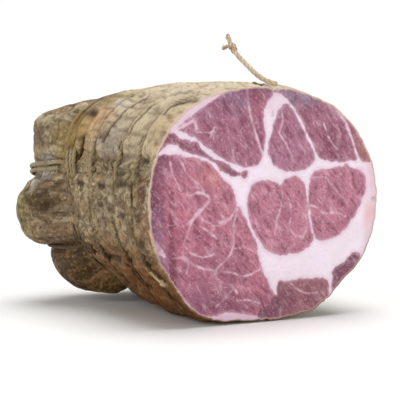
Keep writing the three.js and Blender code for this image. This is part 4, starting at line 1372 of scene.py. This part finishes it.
def cut_finish():
    """Cured meat cut across: rosy lean with fine marbling, and white fat between the muscles"""
    finish = Finish("cut_meat")
    place = finish.place
    into_lean = finish.attribute("into_lean")
    off_vein = finish.attribute("off_vein")
    from_rim = finish.attribute("from_rim")
    ragged = finish.math("SUBTRACT", finish.noise(place, 3.2, detail=3, roughness=0.5), 0.5)
    edge = finish.math("ADD", into_lean, finish.times(ragged, 2.6))
    lean_share = finish.ramp(edge, -0.6, 0.2)
    uneven = finish.math("SUBTRACT", finish.noise(place, 3.0, detail=4, roughness=0.65), 0.46)
    vein_edge = finish.math("ADD", off_vein, finish.times(uneven, 3.0))
    fading = finish.ramp(finish.noise(place, 7), 0.35, 0.6, 0.4, 1.0)
    vein_share = finish.times(finish.ramp(vein_edge, 0.7, -0.5, 0.0, 0.85), fading)

    grain = finish.stretched(finish.turned(place, 38), (1, 1, 0.38))
    fibres = finish.noise(grain, 0.9, detail=4, roughness=0.65, distortion=0.4)
    streaks = finish.noise(grain, 2.4, detail=4, roughness=0.62, distortion=0.5)
    wander = finish.noise(place, 6, detail=4, roughness=0.6, distortion=0.8)
    threads = finish.ramp(finish.math("ABSOLUTE", finish.math("SUBTRACT", wander, 0.5)), 0.02, 0.0)
    broken = finish.noise(place, 4.5, detail=3)
    marbling = finish.times(threads, finish.ramp(broken, 0.48, 0.62, 0.0, 0.5))
    speckle = finish.noise(place, 1.5, detail=4, roughness=0.68)
    marbling = finish.larger(marbling, finish.ramp(speckle, 0.53, 0.76, 0.0, 0.5))
    marbling = finish.larger(marbling, finish.ramp(streaks, 0.52, 0.76, 0.0, 0.6))
    clouds = finish.noise(place, 8, detail=3)

    lean = finish.tinted(
        finish.attribute("lean_colour", "Color"), (clouds, 0.38, 0.66, 0.45, LEAN_DARK),
        (fibres, 0.46, 0.66, 0.5, LEAN_DEEP), (streaks, 0.48, 0.32, 0.65, LEAN_DEEP),
    )
    lean = finish.mix(marbling, lean, MARBLING)
    lean = finish.tinted(lean, (edge, 1.4, 0.1, 0.25, PINK_FAT))
    lean = finish.mix(vein_share, lean, VEIN)

    creamy = finish.noise(place, 9, detail=3)
    fat = finish.tinted(
        finish.attribute("fat_colour", "Color"), (creamy, 0.4, 0.65, 0.7, CREAMY_FAT),
        (speckle, 0.5, 0.75, 0.35, PINK_FAT), (edge, -2.4, -0.2, 0.45, PINK_FAT),
        (from_rim, 4.5, 1.0, 0.45, PINK_FAT),
    )
    colour = finish.mix(lean_share, fat, lean)
    colour = finish.tinted(colour, (from_rim, 0.8, 0.2, 0.6, SKIN_EDGE))

    normal = finish.bump(speckle, 0.35, 0.7)
    normal = finish.bump(fibres, 0.2, 0.6, normal)
    roughness = finish.ramp(creamy, 0.3, 0.7, 0.42, 0.58)
    return finish.shade(
        base_color=colour, roughness=roughness, normal=normal, specular_ior_level=0.4,
        subsurface_weight=0.1, subsurface_scale=0.0015,
    )


add_cut_face(casing_outline)


# The floor, the light and the end of the script

FLOOR_HALF = 1.6
# The brightness of the walls and of the ceiling, and where the one fades into the other
WALL = 1.02
CEILING = 0.32
FADE = (0.2, 0.4)
SUN_POWER = 2.3
SUN_WIDTH = 50
SUN_FROM = (0.12, 0.12, 1)
# The two lamps: name, place and power; then the place that both light, and their size
LAMPS = [("front", (0.1, -1.3, 0.5), 2.6), ("side", (-1.2, -0.2, 0.7), 2.5)]
LAMP_AIM = Vector((0, 0, 0.05))
LAMP_SIZE = 0.7


def add_stage():
    bm = bmesh.new()
    bmesh.ops.create_grid(bm, x_segments=1, y_segments=1, size=FLOOR_HALF)
    mesh = bpy.data.meshes.new("floor")
    bm.to_mesh(mesh)
    bm.free()
    floor = placed("floor", mesh)
    finish = Finish("floor")
    cloud = finish.noise(finish.place, 180, detail=2)
    colour = finish.mix(cloud, linear(250, 250, 249), linear(246, 246, 244))
    mesh.materials.append(finish.shade(base_color=colour, roughness=0.7))


def add_lamp(name, place, power):
    data = bpy.data.lights.new(name, "AREA")
    data.shape = "DISK"
    data.size = LAMP_SIZE
    data.energy = power
    lamp = placed(name, data)
    lamp.location = place
    lamp.rotation_euler = (LAMP_AIM - Vector(place)).to_track_quat("-Z", "Y").to_euler()


def add_lights():
    """A pale studio: bright walls, a dimmer ceiling, a wide soft light overhead and two lamps"""
    world = bpy.data.worlds.new("studio")
    world.use_nodes = True
    tree = world.node_tree
    way = tree.nodes.new("ShaderNodeTexCoord").outputs["Generated"]
    parts = tree.nodes.new("ShaderNodeSeparateXYZ")
    tree.links.new(way, parts.inputs[0])
    fade = tree.nodes.new("ShaderNodeMapRange")
    fade.interpolation_type = "SMOOTHSTEP"
    for socket, number in zip(list(fade.inputs)[1:5], (*FADE, WALL, CEILING)):
        socket.default_value = number
    tree.links.new(parts.outputs["Z"], fade.inputs[0])
    tree.links.new(fade.outputs[0], tree.nodes["Background"].inputs["Strength"])
    tree.nodes["Background"].inputs["Color"].default_value = (1, 1, 1, 1)
    bpy.context.scene.world = world
    sun = placed("overhead", bpy.data.lights.new("overhead", "SUN"))
    sun.data.energy = SUN_POWER
    sun.data.angle = math.radians(SUN_WIDTH)
    sun.rotation_euler = Vector(SUN_FROM).to_track_quat("Z", "Y").to_euler()
    for name, place, power in LAMPS:
        add_lamp(name, place, power)


add_stage()
add_lights()
bpy.context.scene.view_settings.view_transform = "Standard"
